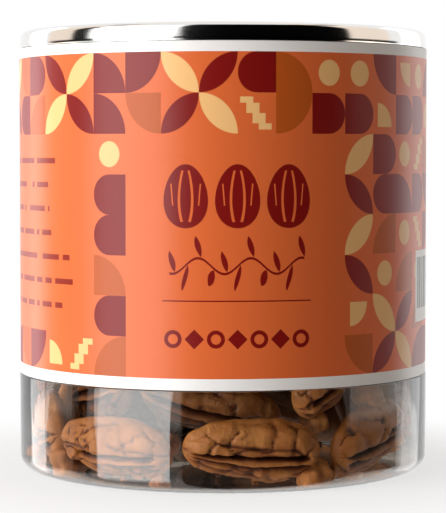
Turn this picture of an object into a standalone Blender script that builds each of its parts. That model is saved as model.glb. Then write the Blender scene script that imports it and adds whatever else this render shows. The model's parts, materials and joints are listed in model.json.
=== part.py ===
"""Clear easy-open can of shelled pecan halves.

A turned plastic can with a pushed-up base, a metal end seamed over its rim, a ring-pull tab
riveted to that end, a paper label wrapped round the wall, and the pecan halves that fill the
clear band below the label. Metres, +Z up. The origin is the centre of the base's standing ring,
and the front of the label faces -Y.
"""

import math
import random

import bmesh
import bpy
import numpy as np
from mathutils import Matrix, Vector

MM = 0.001

# --- Driving dimensions, in millimetres ---------------------------------------------------
CAN_RADIUS = 42.5
CAN_HEIGHT = 90.5
WALL_INNER_RADIUS = 41.4
FIT_GAP = 0.3
TURN_STEPS = 48
RIVET_STEPS = 16

FLOOR_THICKNESS = 1.2
PUSH_UP_RISE = 2.0
PUSH_UP_RADIUS = 33.0
STANDING_RING_INNER = 34.5
BASE_CORNER = 3.2
INNER_CORNER = 2.6

LABEL_BOTTOM = 20.2
LABEL_TOP = 86.6
LABEL_THICKNESS = 0.2
LABEL_RECESS = LABEL_THICKNESS + FIT_GAP
LABEL_BUTT_GAP = 0.6

NECK_RADIUS = 41.5
NECK_WALL = 0.8
NECK_TOP = 89.2

SEAM_RADIUS = 42.25
SEAM_BOTTOM = 86.9
SEAM_ROUND = 1.25
SHEET = 0.4
COUNTERSINK_RADIUS = 38.3
COUNTERSINK_FLOOR = 85.85
PANEL_TOP = 87.2
PANEL_EDGE = 36.9
RECESS_RADIUS = 26.2
RECESS_DEPTH = 0.6
SCORE_RADIUS = 36.2
SCORE_DEPTH = 0.15

RIVET_Y = 30.5
RIVET_STEM = 1.55
RIVET_HEAD = 2.7
TAB_EDGE = 0.7
TAB_MID = 88.25
TAB_NOSE = 35.2
RING_Y = 18.5
RING_OUTER = (10.5, 9.5)
RING_HOLE = (7.2, 6.0)
TONGUE_HALF_WIDTH = 2.8
TONGUE_ENDS = (27.6, 34.0)
TONGUE_MID = 87.7
SLOT_HALF_WIDTH = 3.3
SLOT_ENDS = (27.2, 34.3)

NUT_LENGTH = 27.0
NUT_WIDTH = 12.5
NUT_DORSAL = 4.8
NUT_VENTRAL = 2.8
NUT_BLUNTNESS = 2.4
NUT_TAPER = 0.12
NUT_COUNT = 53
NUT_SIZE_SPREAD = 0.06
LOOSE_AFTER_ROW = (5, 7, 8)
NUT_SEED = 11

# Nuts that stand on edge round the wall: degrees round from the front, the tilt that lifts the
# right-hand end, and the lean about the nut's own length. Near 180 the nut points left.
FIRST_ROW = ((9, 176, -17), (-37, 178, -25), (55, 10, 12), (100, -5, 14), (145, 184, -8),
             (190, 0, 18), (235, -4, 12), (279, 186, -14))
SECOND_ROW = ((-11, -12, 22), (34, 35, 20), (-62, 194, -6), (82, 12, -20), (130, -20, 12),
              (178, 196, -20), (226, -12, 24), (266, 14, -10))
THIRD_ROW = ((10, -10, 4), (-38, 200, -16), (56, -14, 30), (104, 12, 0))
ROWS = ((FIRST_ROW, 0.0), (SECOND_ROW, 0.24), (THIRD_ROW, 0.2))
SETTLE_TURN = 25.0
SETTLE_COST = 9.0


def clear_scene():
    for obj in list(bpy.data.objects):
        bpy.data.objects.remove(obj)


def make_material(name, colour, roughness, metallic=0.0, alpha=1.0):
    material = bpy.data.materials.new(name)
    material.use_nodes = True
    shader = material.node_tree.nodes["Principled BSDF"]
    shader.inputs["Base Color"].default_value = (*colour, 1.0)
    shader.inputs["Roughness"].default_value = roughness
    shader.inputs["Metallic"].default_value = metallic
    shader.inputs["Alpha"].default_value = alpha
    return material


def place(name, data, material):
    obj = bpy.data.objects.new(name, data)
    bpy.context.scene.collection.objects.link(obj)
    data.materials.clear()
    data.materials.append(material)
    return obj


def arc(centre, radius, start, end, count):
    """Points along a round corner of a turned outline, from one angle to another, in degrees."""
    angles = [math.radians(start + (end - start) * i / (count - 1)) for i in range(count)]
    return [(centre[0] + radius * math.cos(a), centre[1] + radius * math.sin(a)) for a in angles]


def turned(name, outline, material, steps=TURN_STEPS):
    """A solid turned about Z from (radius, height) points in millimetres.

    An outline that starts and ends on the axis is open, and any other one is closed.
    """
    bm = bmesh.new()
    verts = [bm.verts.new((r * MM, 0.0, z * MM)) for r, z in outline]
    pairs = list(zip(verts, verts[1:]))
    if outline[0][0] > 0:
        pairs.append((verts[-1], verts[0]))
    edges = [bm.edges.new(pair) for pair in pairs]
    bmesh.ops.spin(bm, geom=verts + edges, cent=(0, 0, 0), axis=(0, 0, 1), angle=math.tau,
                   steps=steps, use_merge=True)
    bmesh.ops.remove_doubles(bm, verts=bm.verts, dist=0.001 * MM)
    bmesh.ops.recalc_face_normals(bm, faces=bm.faces)
    mesh = bpy.data.meshes.new(name)
    bm.to_mesh(mesh)
    bm.free()
    mesh.shade_smooth()
    mesh.set_sharp_from_angle(angle=math.radians(35))
    return place(name, mesh, material)


def push_up(radius):
    """How far the base rises above its standing ring at this distance from the axis."""
    return PUSH_UP_RISE * max(0.0, 1 - (radius / PUSH_UP_RADIUS) ** 2)


def make_can_body(material):
    label_radius = CAN_RADIUS - LABEL_RECESS
    neck_inner = NECK_RADIUS - NECK_WALL
    dome = [0.0, 12.0, 21.0, 28.0, PUSH_UP_RADIUS]
    outline = [(r, push_up(r)) for r in dome]
    outline.append((STANDING_RING_INNER, 0.0))
    outline += arc((CAN_RADIUS - BASE_CORNER, BASE_CORNER), BASE_CORNER, -90, 0, 5)
    outline += [
        (CAN_RADIUS, LABEL_BOTTOM - 0.8),
        (label_radius, LABEL_BOTTOM - FIT_GAP),
        (label_radius, LABEL_TOP - 0.5),
        (NECK_RADIUS, LABEL_TOP),
        (NECK_RADIUS, NECK_TOP),
        (neck_inner, NECK_TOP),
        (neck_inner, LABEL_TOP - 0.4),
        (WALL_INNER_RADIUS, LABEL_TOP - 1.4),
    ]
    corner_centre = (WALL_INNER_RADIUS - INNER_CORNER, FLOOR_THICKNESS + INNER_CORNER)
    outline += arc(corner_centre, INNER_CORNER, 0, -90, 4)
    outline += [(r, push_up(r) + FLOOR_THICKNESS) for r in reversed(dome)]
    return turned("can_body", outline, material)


def make_end(material):
    """The seamed metal end: seam, chuck wall, countersink, scored panel and its own rivet."""
    outer_inside = SEAM_RADIUS - SHEET
    recess_top = PANEL_TOP - RECESS_DEPTH
    top_side = [
        (0.0, recess_top),
        (RECESS_RADIUS, recess_top),
        (RECESS_RADIUS + 0.8, PANEL_TOP),
        (SCORE_RADIUS - 0.2, PANEL_TOP),
        (SCORE_RADIUS, PANEL_TOP - SCORE_DEPTH),
        (SCORE_RADIUS + 0.2, PANEL_TOP),
        (PANEL_EDGE, PANEL_TOP),
        (COUNTERSINK_RADIUS - 0.8, PANEL_TOP - 0.4),
        (COUNTERSINK_RADIUS - 0.4, COUNTERSINK_FLOOR + 0.1),
        (COUNTERSINK_RADIUS, COUNTERSINK_FLOOR),
        (COUNTERSINK_RADIUS + 0.4, COUNTERSINK_FLOOR + 0.1),
        (COUNTERSINK_RADIUS + 0.65, COUNTERSINK_FLOOR + 0.45),
        (39.9, 89.6),
        (40.1, 90.2),
        (40.5, CAN_HEIGHT),
    ]
    seam = arc((SEAM_RADIUS - SEAM_ROUND, CAN_HEIGHT - SEAM_ROUND), SEAM_ROUND, 90, 0, 5)
    seam += [
        (SEAM_RADIUS, SEAM_BOTTOM + 0.2),
        (SEAM_RADIUS - 0.15, SEAM_BOTTOM),
        (outer_inside, SEAM_BOTTOM + 0.1),
        (outer_inside, 89.4),
        (41.4, 90.05),
        (40.7, 90.05),
    ]
    under_side = [
        (40.3, 89.5),
        (COUNTERSINK_RADIUS + 1.05, COUNTERSINK_FLOOR + 0.35),
        (COUNTERSINK_RADIUS + 0.6, COUNTERSINK_FLOOR - 0.3),
        (COUNTERSINK_RADIUS, COUNTERSINK_FLOOR - SHEET),
        (COUNTERSINK_RADIUS - 0.7, COUNTERSINK_FLOOR - 0.3),
        (COUNTERSINK_RADIUS - 1.2, PANEL_TOP - 0.6),
        (PANEL_EDGE - 0.2, PANEL_TOP - SHEET),
        (RECESS_RADIUS + 1.1, PANEL_TOP - SHEET),
        (RECESS_RADIUS + 0.2, recess_top - SHEET),
        (0.0, recess_top - SHEET),
    ]
    return turned("seamed_end", top_side + seam + under_side, material)


def make_rivet(end, material):
    """The rivet is pressed up out of the panel, so it is joined to the end by a union."""
    head_bottom = TONGUE_MID + SHEET / 2 + FIT_GAP
    outline = [
        (0.0, PANEL_TOP - SHEET / 2),
        (RIVET_STEM + 0.5, PANEL_TOP - SHEET / 2),
        (RIVET_STEM + 0.3, PANEL_TOP + 0.1),
        (RIVET_STEM, PANEL_TOP + 0.25),
        (RIVET_STEM, head_bottom),
        (RIVET_HEAD, head_bottom),
        (RIVET_HEAD, head_bottom + 0.3),
        (RIVET_HEAD - 0.5, head_bottom + 0.55),
        (1.2, head_bottom + 0.55),
        (0.8, head_bottom + 0.3),
        (0.0, head_bottom + 0.3),
    ]
    rivet = turned("rivet_form", outline, material, steps=RIVET_STEPS)
    rivet.location = (0.0, RIVET_Y * MM, 0.0)
    rivet.hide_render = True
    rivet.display_type = "WIRE"
    union = end.modifiers.new("rivet", "BOOLEAN")
    union.operation = "UNION"
    union.solver = "EXACT"
    union.object = rivet


def make_sealing_ring(material):
    """The sealing compound that lines the top of the seam, above the can's rim."""
    inner = NECK_RADIUS - NECK_WALL + 0.05
    outer = NECK_RADIUS - 0.05
    bottom = NECK_TOP + FIT_GAP
    top = bottom + 0.25
    return turned("sealing_ring", [(inner, bottom), (outer, bottom), (outer, top), (inner, top)],
                  material)


def make_label(material):
    """A strip wrapped once round the wall, whose two edges meet at the back."""
    outer = CAN_RADIUS * MM
    inner = outer - LABEL_THICKNESS * MM
    low, high = LABEL_BOTTOM * MM, LABEL_TOP * MM
    half_gap = LABEL_BUTT_GAP * MM / 2 / outer
    start, sweep = math.pi / 2 + half_gap, math.tau - 2 * half_gap
    bm = bmesh.new()
    corners = [bm.verts.new((math.cos(start) * r, math.sin(start) * r, z))
               for r, z in ((inner, low), (outer, low), (outer, high), (inner, high))]
    first = bm.faces.new(corners)
    swept = bmesh.ops.spin(bm, geom=[first], cent=(0, 0, 0), axis=(0, 0, 1), angle=sweep,
                           steps=TURN_STEPS)
    bmesh.ops.recalc_face_normals(bm, faces=bm.faces)
    if not swept["geom_last"]:
        raise RuntimeError("the label strip didn't sweep")
    mesh = bpy.data.meshes.new("label")
    bm.to_mesh(mesh)
    bm.free()
    mesh.shade_smooth()
    mesh.set_sharp_from_angle(angle=math.radians(35))
    return place("label", mesh, material)


def oval(centre_y, half_x, half_y, count, start=0.0, end=360.0):
    """Points of an oval in the plane of the end, or of part of one, in millimetres."""
    full = end - start == 360.0
    steps = count if full else count - 1
    angles = [math.radians(start + (end - start) * i / steps) for i in range(count)]
    return [(half_x * math.cos(a), centre_y + half_y * math.sin(a)) for a in angles]


def box_outline(half_width, low, high, corner):
    """A rectangle across the Y axis with cut corners, in millimetres."""
    return [
        (half_width - corner, low), (half_width, low + corner),
        (half_width, high - corner), (half_width - corner, high),
        (corner - half_width, high), (-half_width, high - corner),
        (-half_width, low + corner), (corner - half_width, low),
    ]


def plate(name, outlines, middle, half_thickness, round_edge, material):
    """A flat stamping: the first outline is its edge and the others are its holes."""
    curve = bpy.data.curves.new(name, "CURVE")
    curve.dimensions = "2D"
    curve.fill_mode = "BOTH"
    if round_edge:
        curve.bevel_depth = half_thickness * MM
        curve.bevel_resolution = 2
    else:
        curve.extrude = half_thickness * MM
    for outline in outlines:
        spline = curve.splines.new("POLY")
        spline.points.add(len(outline) - 1)
        for point, (x, y) in zip(spline.points, outline):
            point.co = (x * MM, y * MM, 0.0, 1.0)
        spline.use_cyclic_u = True
    obj = place(name, curve, material)
    obj.location.z = middle * MM
    return obj


def make_tab(material):
    """The pull tab: a nose bar, two rails round the tongue, and the finger ring.

    Its curled edge is a half round of the tab's own half thickness. The nose's half round is
    centred on the line that the tab turns about, so the object's origin is put there.
    """
    ring = oval(RING_Y, RING_OUTER[0] - TAB_EDGE, RING_OUTER[1] - TAB_EDGE, 19, -200, 20)
    shoulder = [(6.6, TAB_NOSE - 5.5), (5.4, TAB_NOSE - 1.2), (4.6, TAB_NOSE)]
    outline = ring + shoulder + [(-x, y) for x, y in reversed(shoulder)]
    hole = oval(RING_Y, RING_HOLE[0] + TAB_EDGE, RING_HOLE[1] + TAB_EDGE, 18)
    slot = box_outline(SLOT_HALF_WIDTH + TAB_EDGE, SLOT_ENDS[0] - TAB_EDGE,
                       SLOT_ENDS[1] + TAB_EDGE, 1.0)
    axis_y = TAB_NOSE
    outlines = [[(x, y - axis_y) for x, y in points] for points in (outline, hole, slot)]
    tab = plate("pull_tab", outlines, TAB_MID, TAB_EDGE, True, material)
    tab.location.y = axis_y * MM
    return tab


def make_tongue(material):
    """The flap in the middle of the tab that the rivet holds flat on the panel."""
    edge = box_outline(TONGUE_HALF_WIDTH, TONGUE_ENDS[0], TONGUE_ENDS[1], 0.8)
    hole = oval(RIVET_Y, RIVET_STEM + FIT_GAP + 0.05, RIVET_STEM + FIT_GAP + 0.05, 16)
    return plate("tab_tongue", [edge, hole], TONGUE_MID, SHEET / 2, False, material)


def girth(u):
    """The share of a nut's full width and thickness at u, from -1 at its blunt end to 1."""
    full = max(0.0, 1 - abs(u) ** NUT_BLUNTNESS) ** (1 / NUT_BLUNTNESS)
    return full * (1 - NUT_TAPER * u)


def nut_mesh(material):
    """One pecan half along X, its ridged back towards +Z and its flatter face towards -Z.

    Round the nut there are twelve points: the middle ridge, the two grooves beside it, the
    lobes, the rim, and the channel along the flatter face.
    """
    depth = {60: 0.80, 120: 0.80, 90: 0.97, 240: 0.96, 300: 0.96, 270: 0.60}
    bm = bmesh.new()
    bmesh.ops.create_uvsphere(bm, u_segments=12, v_segments=6, radius=1.0,
                              matrix=Matrix.Rotation(math.pi / 2, 4, "Y"))
    for vert in bm.verts:
        u = max(-1.0, min(1.0, vert.co.x))
        round_share = math.hypot(vert.co.y, vert.co.z)
        if round_share < 1e-6:
            vert.co = (math.copysign(NUT_LENGTH / 2, u) * MM, 0.0, 0.0)
            continue
        angle = round(math.degrees(math.atan2(vert.co.z, vert.co.y))) % 360
        along = math.copysign(abs(u) ** 0.85, u)
        share = girth(along) * depth.get(angle, 1.0)
        thickness = NUT_DORSAL if angle < 180 else NUT_VENTRAL
        vert.co = (
            along * NUT_LENGTH / 2 * MM,
            share * NUT_WIDTH / 2 * math.cos(math.radians(angle)) * MM,
            share * thickness * math.sin(math.radians(angle)) * MM,
        )
    bmesh.ops.recalc_face_normals(bm, faces=bm.faces)
    mesh = bpy.data.meshes.new("pecan_half")
    bm.to_mesh(mesh)
    bm.free()
    mesh.materials.append(material)
    mesh.shade_smooth()
    return mesh


def cover_balls():
    """Balls that hold a whole nut between them: centres and radii in millimetres."""
    middle = (NUT_DORSAL - NUT_VENTRAL) / 2
    half = (NUT_DORSAL + NUT_VENTRAL) / 2
    centres, radii = [], []
    for u in np.linspace(-0.86, 0.86, 7):
        share = girth(u)
        aside = share * (NUT_WIDTH / 2 - half)
        for y in (-aside, 0.0, aside):
            centres.append((u * NUT_LENGTH / 2, y, middle * share))
            radii.append(half * share + 0.1)
    return np.array(centres), np.array(radii)


def nut_turn(azimuth, tilt, lean, toe):
    """A nut's rotation: lengthwise along the wall with its back outwards, then tilted."""
    out = Vector((math.cos(azimuth), math.sin(azimuth), 0.0))
    along = Vector((-math.sin(azimuth), math.cos(azimuth), 0.0))
    stand = Matrix((along, Vector((0, 0, 1)), out)).transposed()
    return (Matrix.Rotation(tilt, 3, out) @ Matrix.Rotation(toe, 3, "Z") @ stand
            @ Matrix.Rotation(lean, 3, "X"))


class Heap:
    """Nuts lowered one at a time into the can until each rests on what is below it."""

    def __init__(self):
        self.centres, self.radii = cover_balls()
        self.held = np.empty((0, 3))
        self.held_radii = np.empty(0)
        self.places = []

    def reach(self, balls, radii, azimuth):
        """How far out from the axis a nut can stand before one of its balls meets the wall."""
        room = WALL_INNER_RADIUS - FIT_GAP - radii
        out = balls[:, 0] * math.cos(azimuth) + balls[:, 1] * math.sin(azimuth)
        inside = out ** 2 - (balls[:, :2] ** 2).sum(axis=1) + room ** 2
        return float((np.sqrt(inside) - out).min())

    def rest(self, balls, radii):
        """How high a nut stands when it is lowered until it touches the base or a nut."""
        from_axis = np.hypot(balls[:, 0], balls[:, 1])
        base = FLOOR_THICKNESS + FIT_GAP + PUSH_UP_RISE * np.clip(
            1 - (from_axis / PUSH_UP_RADIUS) ** 2, 0, None)
        height = (base + radii - balls[:, 2]).max()
        if len(self.held):
            apart = ((balls[:, None, :2] - self.held[None, :, :2]) ** 2).sum(axis=2)
            touch = (radii[:, None] + self.held_radii[None, :] + FIT_GAP) ** 2 - apart
            over = np.sqrt(np.clip(touch, 0, None)) + self.held[None, :, 2] - balls[:, None, 2]
            over[touch <= 0] = -np.inf
            height = max(height, over.max())
        return float(height)

    def trial(self, azimuth, outness, turn, size):
        """A nut's position at this azimuth, as far out as outness says, and its balls there."""
        turned_balls = (self.centres * size) @ np.array(turn).T
        radii = self.radii * max(size)
        outwards = outness * self.reach(turned_balls, radii, azimuth)
        shift = np.array((outwards * math.cos(azimuth), outwards * math.sin(azimuth), 0.0))
        balls = turned_balls + shift
        shift[2] = self.rest(balls, radii)
        balls[:, 2] += shift[2]
        return shift, balls, radii

    def add(self, position, balls, radii, turn, size):
        self.held = np.vstack((self.held, balls))
        self.held_radii = np.concatenate((self.held_radii, radii))
        self.places.append((position, turn, size))


def draw_size(draw):
    return tuple(1 + draw.uniform(-NUT_SIZE_SPREAD, NUT_SIZE_SPREAD) for _ in range(3))


def add_row(heap, draw, row, slack):
    """A row of nuts on edge. Each settles where it stands lowest, up to slack from its place.

    Coming in from the wall has to gain some height, so that the row stays near the wall.
    """
    for around, tilt, lean in row:
        size = draw_size(draw)
        best = None
        for aside in np.linspace(-slack, slack, 7 if slack else 1):
            azimuth = math.radians(around - 90 + aside * SETTLE_TURN)
            turn = nut_turn(azimuth, math.radians(tilt), math.radians(lean), 0.0)
            for inwards in np.linspace(0.0, slack, 9 if slack else 1):
                found = heap.trial(azimuth, 1.0 - inwards, turn, size)
                cost = found[0][2] + inwards * SETTLE_COST
                if best is None or cost < best[0]:
                    best = (cost, found, turn)
        heap.add(*best[1], best[2], size)


def add_loose(heap, draw, count, tries=500):
    """Nuts that fall where there is most room: of several trials the lowest is kept."""
    for _ in range(count):
        size = draw_size(draw)
        best = None
        for _ in range(tries):
            azimuth = draw.uniform(-math.pi, math.pi)
            turn = nut_turn(azimuth, math.radians(draw.uniform(-28, 28)),
                            draw.uniform(-math.pi, math.pi), draw.uniform(-math.pi, math.pi))
            outness = math.sqrt(draw.random())
            found = heap.trial(azimuth, outness, turn, size)
            if best is None or found[0][2] < best[0][0][2]:
                best = (found, turn)
        heap.add(*best[0], best[1], size)


def make_nuts(material):
    draw = random.Random(NUT_SEED)
    heap = Heap()
    for (row, slack), inside in zip(ROWS, LOOSE_AFTER_ROW):
        add_row(heap, draw, row, slack)
        add_loose(heap, draw, inside)
    add_loose(heap, draw, NUT_COUNT - len(heap.places))
    mesh = nut_mesh(material)
    for index, (position, turn, size) in enumerate(heap.places, start=1):
        nut = bpy.data.objects.new(f"pecan_half_{index:02d}", mesh)
        bpy.context.scene.collection.objects.link(nut)
        nut.matrix_world = (Matrix.Translation(Vector(position) * MM) @ turn.to_4x4()
                            @ Matrix.Diagonal((*size, 1.0)))


def main():
    clear_scene()
    clear_plastic = make_material("clear_plastic", (0.93, 0.95, 0.94), 0.05, alpha=0.25)
    end_metal = make_material("end_metal", (0.86, 0.84, 0.81), 0.12, metallic=1.0)
    tab_metal = make_material("tab_metal", (0.82, 0.81, 0.79), 0.22, metallic=1.0)
    compound = make_material("sealing_compound", (0.72, 0.70, 0.64), 0.6)
    label_paper = make_material("label_paper", (0.80, 0.23, 0.08), 0.35)
    kernel = make_material("pecan_kernel", (0.38, 0.17, 0.07), 0.55)
    make_can_body(clear_plastic)
    end = make_end(end_metal)
    make_rivet(end, end_metal)
    make_sealing_ring(compound)
    make_tongue(tab_metal)
    make_tab(tab_metal)
    make_label(label_paper)
    make_nuts(kernel)


main()
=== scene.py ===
"""Looks of a clear easy-open can of shelled pecan halves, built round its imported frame.

Every visible piece is modelled here at its real size, in metres, with +Z up and the front of the
label towards -Y. Each sub-assembly is a class that builds its meshes and dresses them.
"""

import json
import logging
import math
from collections.abc import Callable, Sequence
from dataclasses import dataclass
from enum import Enum

import bpy
import numpy as np
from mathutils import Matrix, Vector, noise

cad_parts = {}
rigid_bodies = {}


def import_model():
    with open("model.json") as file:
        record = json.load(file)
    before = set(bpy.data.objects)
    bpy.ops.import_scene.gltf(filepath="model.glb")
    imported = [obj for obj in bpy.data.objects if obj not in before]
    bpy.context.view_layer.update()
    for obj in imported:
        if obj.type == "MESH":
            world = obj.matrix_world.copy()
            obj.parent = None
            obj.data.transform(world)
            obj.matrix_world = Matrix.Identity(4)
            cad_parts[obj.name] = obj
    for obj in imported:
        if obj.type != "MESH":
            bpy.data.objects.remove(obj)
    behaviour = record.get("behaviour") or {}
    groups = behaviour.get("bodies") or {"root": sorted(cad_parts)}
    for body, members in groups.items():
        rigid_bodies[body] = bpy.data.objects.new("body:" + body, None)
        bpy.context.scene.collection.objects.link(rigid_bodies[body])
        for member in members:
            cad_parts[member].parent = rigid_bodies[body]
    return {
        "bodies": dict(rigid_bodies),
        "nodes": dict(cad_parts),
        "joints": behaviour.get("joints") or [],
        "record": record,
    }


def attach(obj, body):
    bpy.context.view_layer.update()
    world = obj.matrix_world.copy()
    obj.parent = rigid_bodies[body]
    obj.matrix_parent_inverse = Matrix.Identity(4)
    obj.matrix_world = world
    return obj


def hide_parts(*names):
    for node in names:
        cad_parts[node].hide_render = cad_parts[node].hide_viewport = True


LOG = logging.getLogger("pecan_can")
MM = 0.001
WELD = 0.000002
Colour = tuple[float, float, float]
Point = tuple[float, float]


# --- Node trees as expressions --------------------------------------------------------------


class Wire:
    """A node's output, whose arithmetic adds Math nodes to its tree."""

    def __init__(self, tree: "Tree", socket: bpy.types.NodeSocket) -> None:
        """Wraps one output.

        Args:
            tree: The tree that new Math nodes go into.
            socket: The output socket.
        """
        self.tree = tree
        self.socket = socket

    def __add__(self, other: "Value") -> "Wire":
        """Returns self + other."""
        return self.tree.math("ADD", self, other)

    def __sub__(self, other: "Value") -> "Wire":
        """Returns self - other."""
        return self.tree.math("SUBTRACT", self, other)

    def __rsub__(self, other: "Value") -> "Wire":
        """Returns other - self."""
        return self.tree.math("SUBTRACT", other, self)

    def __mul__(self, other: "Value") -> "Wire":
        """Returns self * other."""
        return self.tree.math("MULTIPLY", self, other)

    def __truediv__(self, other: "Value") -> "Wire":
        """Returns self / other."""
        return self.tree.math("DIVIDE", self, other)

    def __lt__(self, other: "Value") -> "Wire":
        """Returns 1 where self is under other, else 0."""
        return self.tree.math("LESS_THAN", self, other)

    def __gt__(self, other: "Value") -> "Wire":
        """Returns 1 where self is over other, else 0."""
        return self.tree.math("GREATER_THAN", self, other)

    def __abs__(self) -> "Wire":
        """Returns self without its sign."""
        return self.tree.math("ABSOLUTE", self)

    __radd__ = __add__
    __rmul__ = __mul__


Value = Wire | float | int


class Tree:
    """The node tree of one material or of the world."""

    def __init__(self, owner: bpy.types.Material | bpy.types.World) -> None:
        """Empties the owner's node tree.

        Args:
            owner: The material or world to write.
        """
        owner.use_nodes = True
        self.nodes = owner.node_tree.nodes
        self.links = owner.node_tree.links
        self.nodes.clear()

    def make(
        self, kind: str, settings: dict[str, object] | None = None,
        sockets: dict[str | int, object] | None = None,
    ) -> bpy.types.Node:
        """Adds a node.

        Args:
            kind: The node's type, such as ShaderNodeMath.
            settings: Its properties, set first.
            sockets: Values, colours or Wires for its inputs, by name or index.

        Returns:
            The node.
        """
        node = self.nodes.new(kind)
        for name, value in (settings or {}).items():
            setattr(node, name, value)
        for name, value in (sockets or {}).items():
            socket = node.inputs[name]
            if isinstance(value, Wire):
                self.links.new(value.socket, socket)
            elif socket.type == "RGBA":
                socket.default_value = (*value, 1.0)
            else:
                socket.default_value = value
        return node

    def wire(
        self, kind: str, settings: dict[str, object] | None = None,
        sockets: dict[str | int, object] | None = None, output: str | int = 0,
    ) -> Wire:
        """Adds a node and returns one of its outputs as a Wire. See make."""
        return Wire(self, self.make(kind, settings, sockets).outputs[output])

    def math(self, operation: str, *values: Value) -> Wire:
        """Adds a Math node for an operation on these values."""
        return self.wire("ShaderNodeMath", {"operation": operation}, dict(enumerate(values)))

    def most(self, first: Value, *others: Value) -> Wire:
        """Returns the largest of the values."""
        for other in others:
            first = self.math("MAXIMUM", first, other)
        return first

    def ease(self, value: Value, low: float, high: float) -> Wire:
        """Returns 0 below low and 1 above high, with an eased step between."""
        return self.wire(
            "ShaderNodeMapRange", {"interpolation_type": "SMOOTHSTEP"},
            {"Value": value, "From Min": low, "From Max": high},
        )

    def band(self, value: Value, rise: Point, fall: Point) -> Wire:
        """Returns 1 between an eased rise and an eased fall, and 0 outside them."""
        return self.ease(value, *rise) * (1.0 - self.ease(value, *fall))

    def odd(self, value: Wire) -> Wire:
        """Returns 1 where a whole number is odd, and 0 where it is even."""
        return self.math("FLOORED_MODULO", value, 2.0)

    def length(self, u: Value, v: Value) -> Wire:
        """Returns the length of (u, v)."""
        return self.wire("ShaderNodeVectorMath", {"operation": "LENGTH"},
                         {0: self.join(u, v)}, output="Value")

    def scaled(self, vector: object, scale: Value) -> Wire:
        """Returns a vector or a colour times a number."""
        return self.wire("ShaderNodeVectorMath", {"operation": "SCALE"},
                         {0: vector, "Scale": scale})

    def turn(self, x: Wire, y: Wire) -> Wire:
        """Returns degrees round from the front, positive towards +X."""
        return self.math("ARCTAN2", x, 0.0 - y) * math.degrees(1.0)

    def shaders(self, share: Value, first: bpy.types.Node,
                second: bpy.types.Node) -> bpy.types.Node:
        """Returns a mix of two shaders, at share of the way to the second."""
        return self.make("ShaderNodeMixShader", {}, {
            0: share, 1: Wire(self, first.outputs[0]), 2: Wire(self, second.outputs[0])})

    def mix(self, share: Value, first: object, second: object) -> Wire:
        """Returns a colour between two, at share of the way to the second."""
        settings = {"data_type": "RGBA"}
        return self.wire("ShaderNodeMix", settings, {0: share, 6: first, 7: second}, output=2)

    def noise(self, place: Wire, scale: float, detail: float = 3.0, rough: float = 0.5) -> Wire:
        """Returns 3-D noise from 0 to 1 at a place."""
        sockets = {"Vector": place, "Scale": scale, "Detail": detail, "Roughness": rough}
        return self.wire("ShaderNodeTexNoise", {}, sockets)

    def split(self, vector: Wire) -> tuple[Wire, Wire, Wire]:
        """Returns a vector's three numbers."""
        node = self.make("ShaderNodeSeparateXYZ", {}, {0: vector})
        return tuple(Wire(self, out) for out in node.outputs)

    def join(self, x: Value, y: Value, z: Value = 0.0) -> Wire:
        """Returns a vector of three numbers."""
        return self.wire("ShaderNodeCombineXYZ", {}, {0: x, 1: y, 2: z})

    def place(self) -> Wire:
        """Returns the object's coordinates, in millimetres."""
        return self.scaled(self.wire("ShaderNodeTexCoord", output="Object"), 1.0 / MM)

    def dice(self, x: Value, y: Value, z: Value = 0.0) -> tuple[Wire, Wire, Wire]:
        """Returns three random numbers from 0 to 1 that belong to a cell."""
        node = self.make("ShaderNodeTexWhiteNoise", {}, {"Vector": self.join(x, y, z)})
        return self.split(Wire(self, node.outputs["Color"]))


@dataclass(frozen=True)
class Finish:
    """A surface that every piece of one material shares.

    Attributes:
        name: The material's name.
        colour: Its base colour, linear.
        roughness: Its roughness.
        metallic: 1 on bare metal.
        coat: The weight of a clear coat over it.
    """

    name: str
    colour: Colour
    roughness: float = 0.5
    metallic: float = 0.0
    coat: float = 0.0

    def start(self) -> tuple[bpy.types.Material, Tree]:
        """Returns a new material of this name and its empty tree."""
        material = bpy.data.materials.new(self.name)
        return material, Tree(material)

    def shader(self, tree: Tree, sockets: dict[str, object]) -> bpy.types.Node:
        """Adds the Principled shader with this finish's plain values.

        Args:
            tree: The material's tree.
            sockets: What varies or adds to the plain values, by socket name.

        Returns:
            The shader's node.
        """
        plain = {
            "Base Color": self.colour, "Roughness": self.roughness,
            "Metallic": self.metallic, "Coat Weight": self.coat,
        }
        return tree.make("ShaderNodeBsdfPrincipled", {}, {**plain, **sockets})

    @staticmethod
    def close(tree: Tree, shader: bpy.types.Node) -> None:
        """Links a shader to the material's output."""
        tree.make("ShaderNodeOutputMaterial", {}, {"Surface": Wire(tree, shader.outputs[0])})

    @staticmethod
    def bump(tree: Tree, height: Wire, distance: float, strength: float = 1.0) -> Wire:
        """Returns a normal bent by a height from 0 to 1 that stands for distance metres."""
        sockets = {"Height": height, "Distance": distance, "Strength": strength}
        return tree.wire("ShaderNodeBump", {}, sockets, output="Normal")


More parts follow.
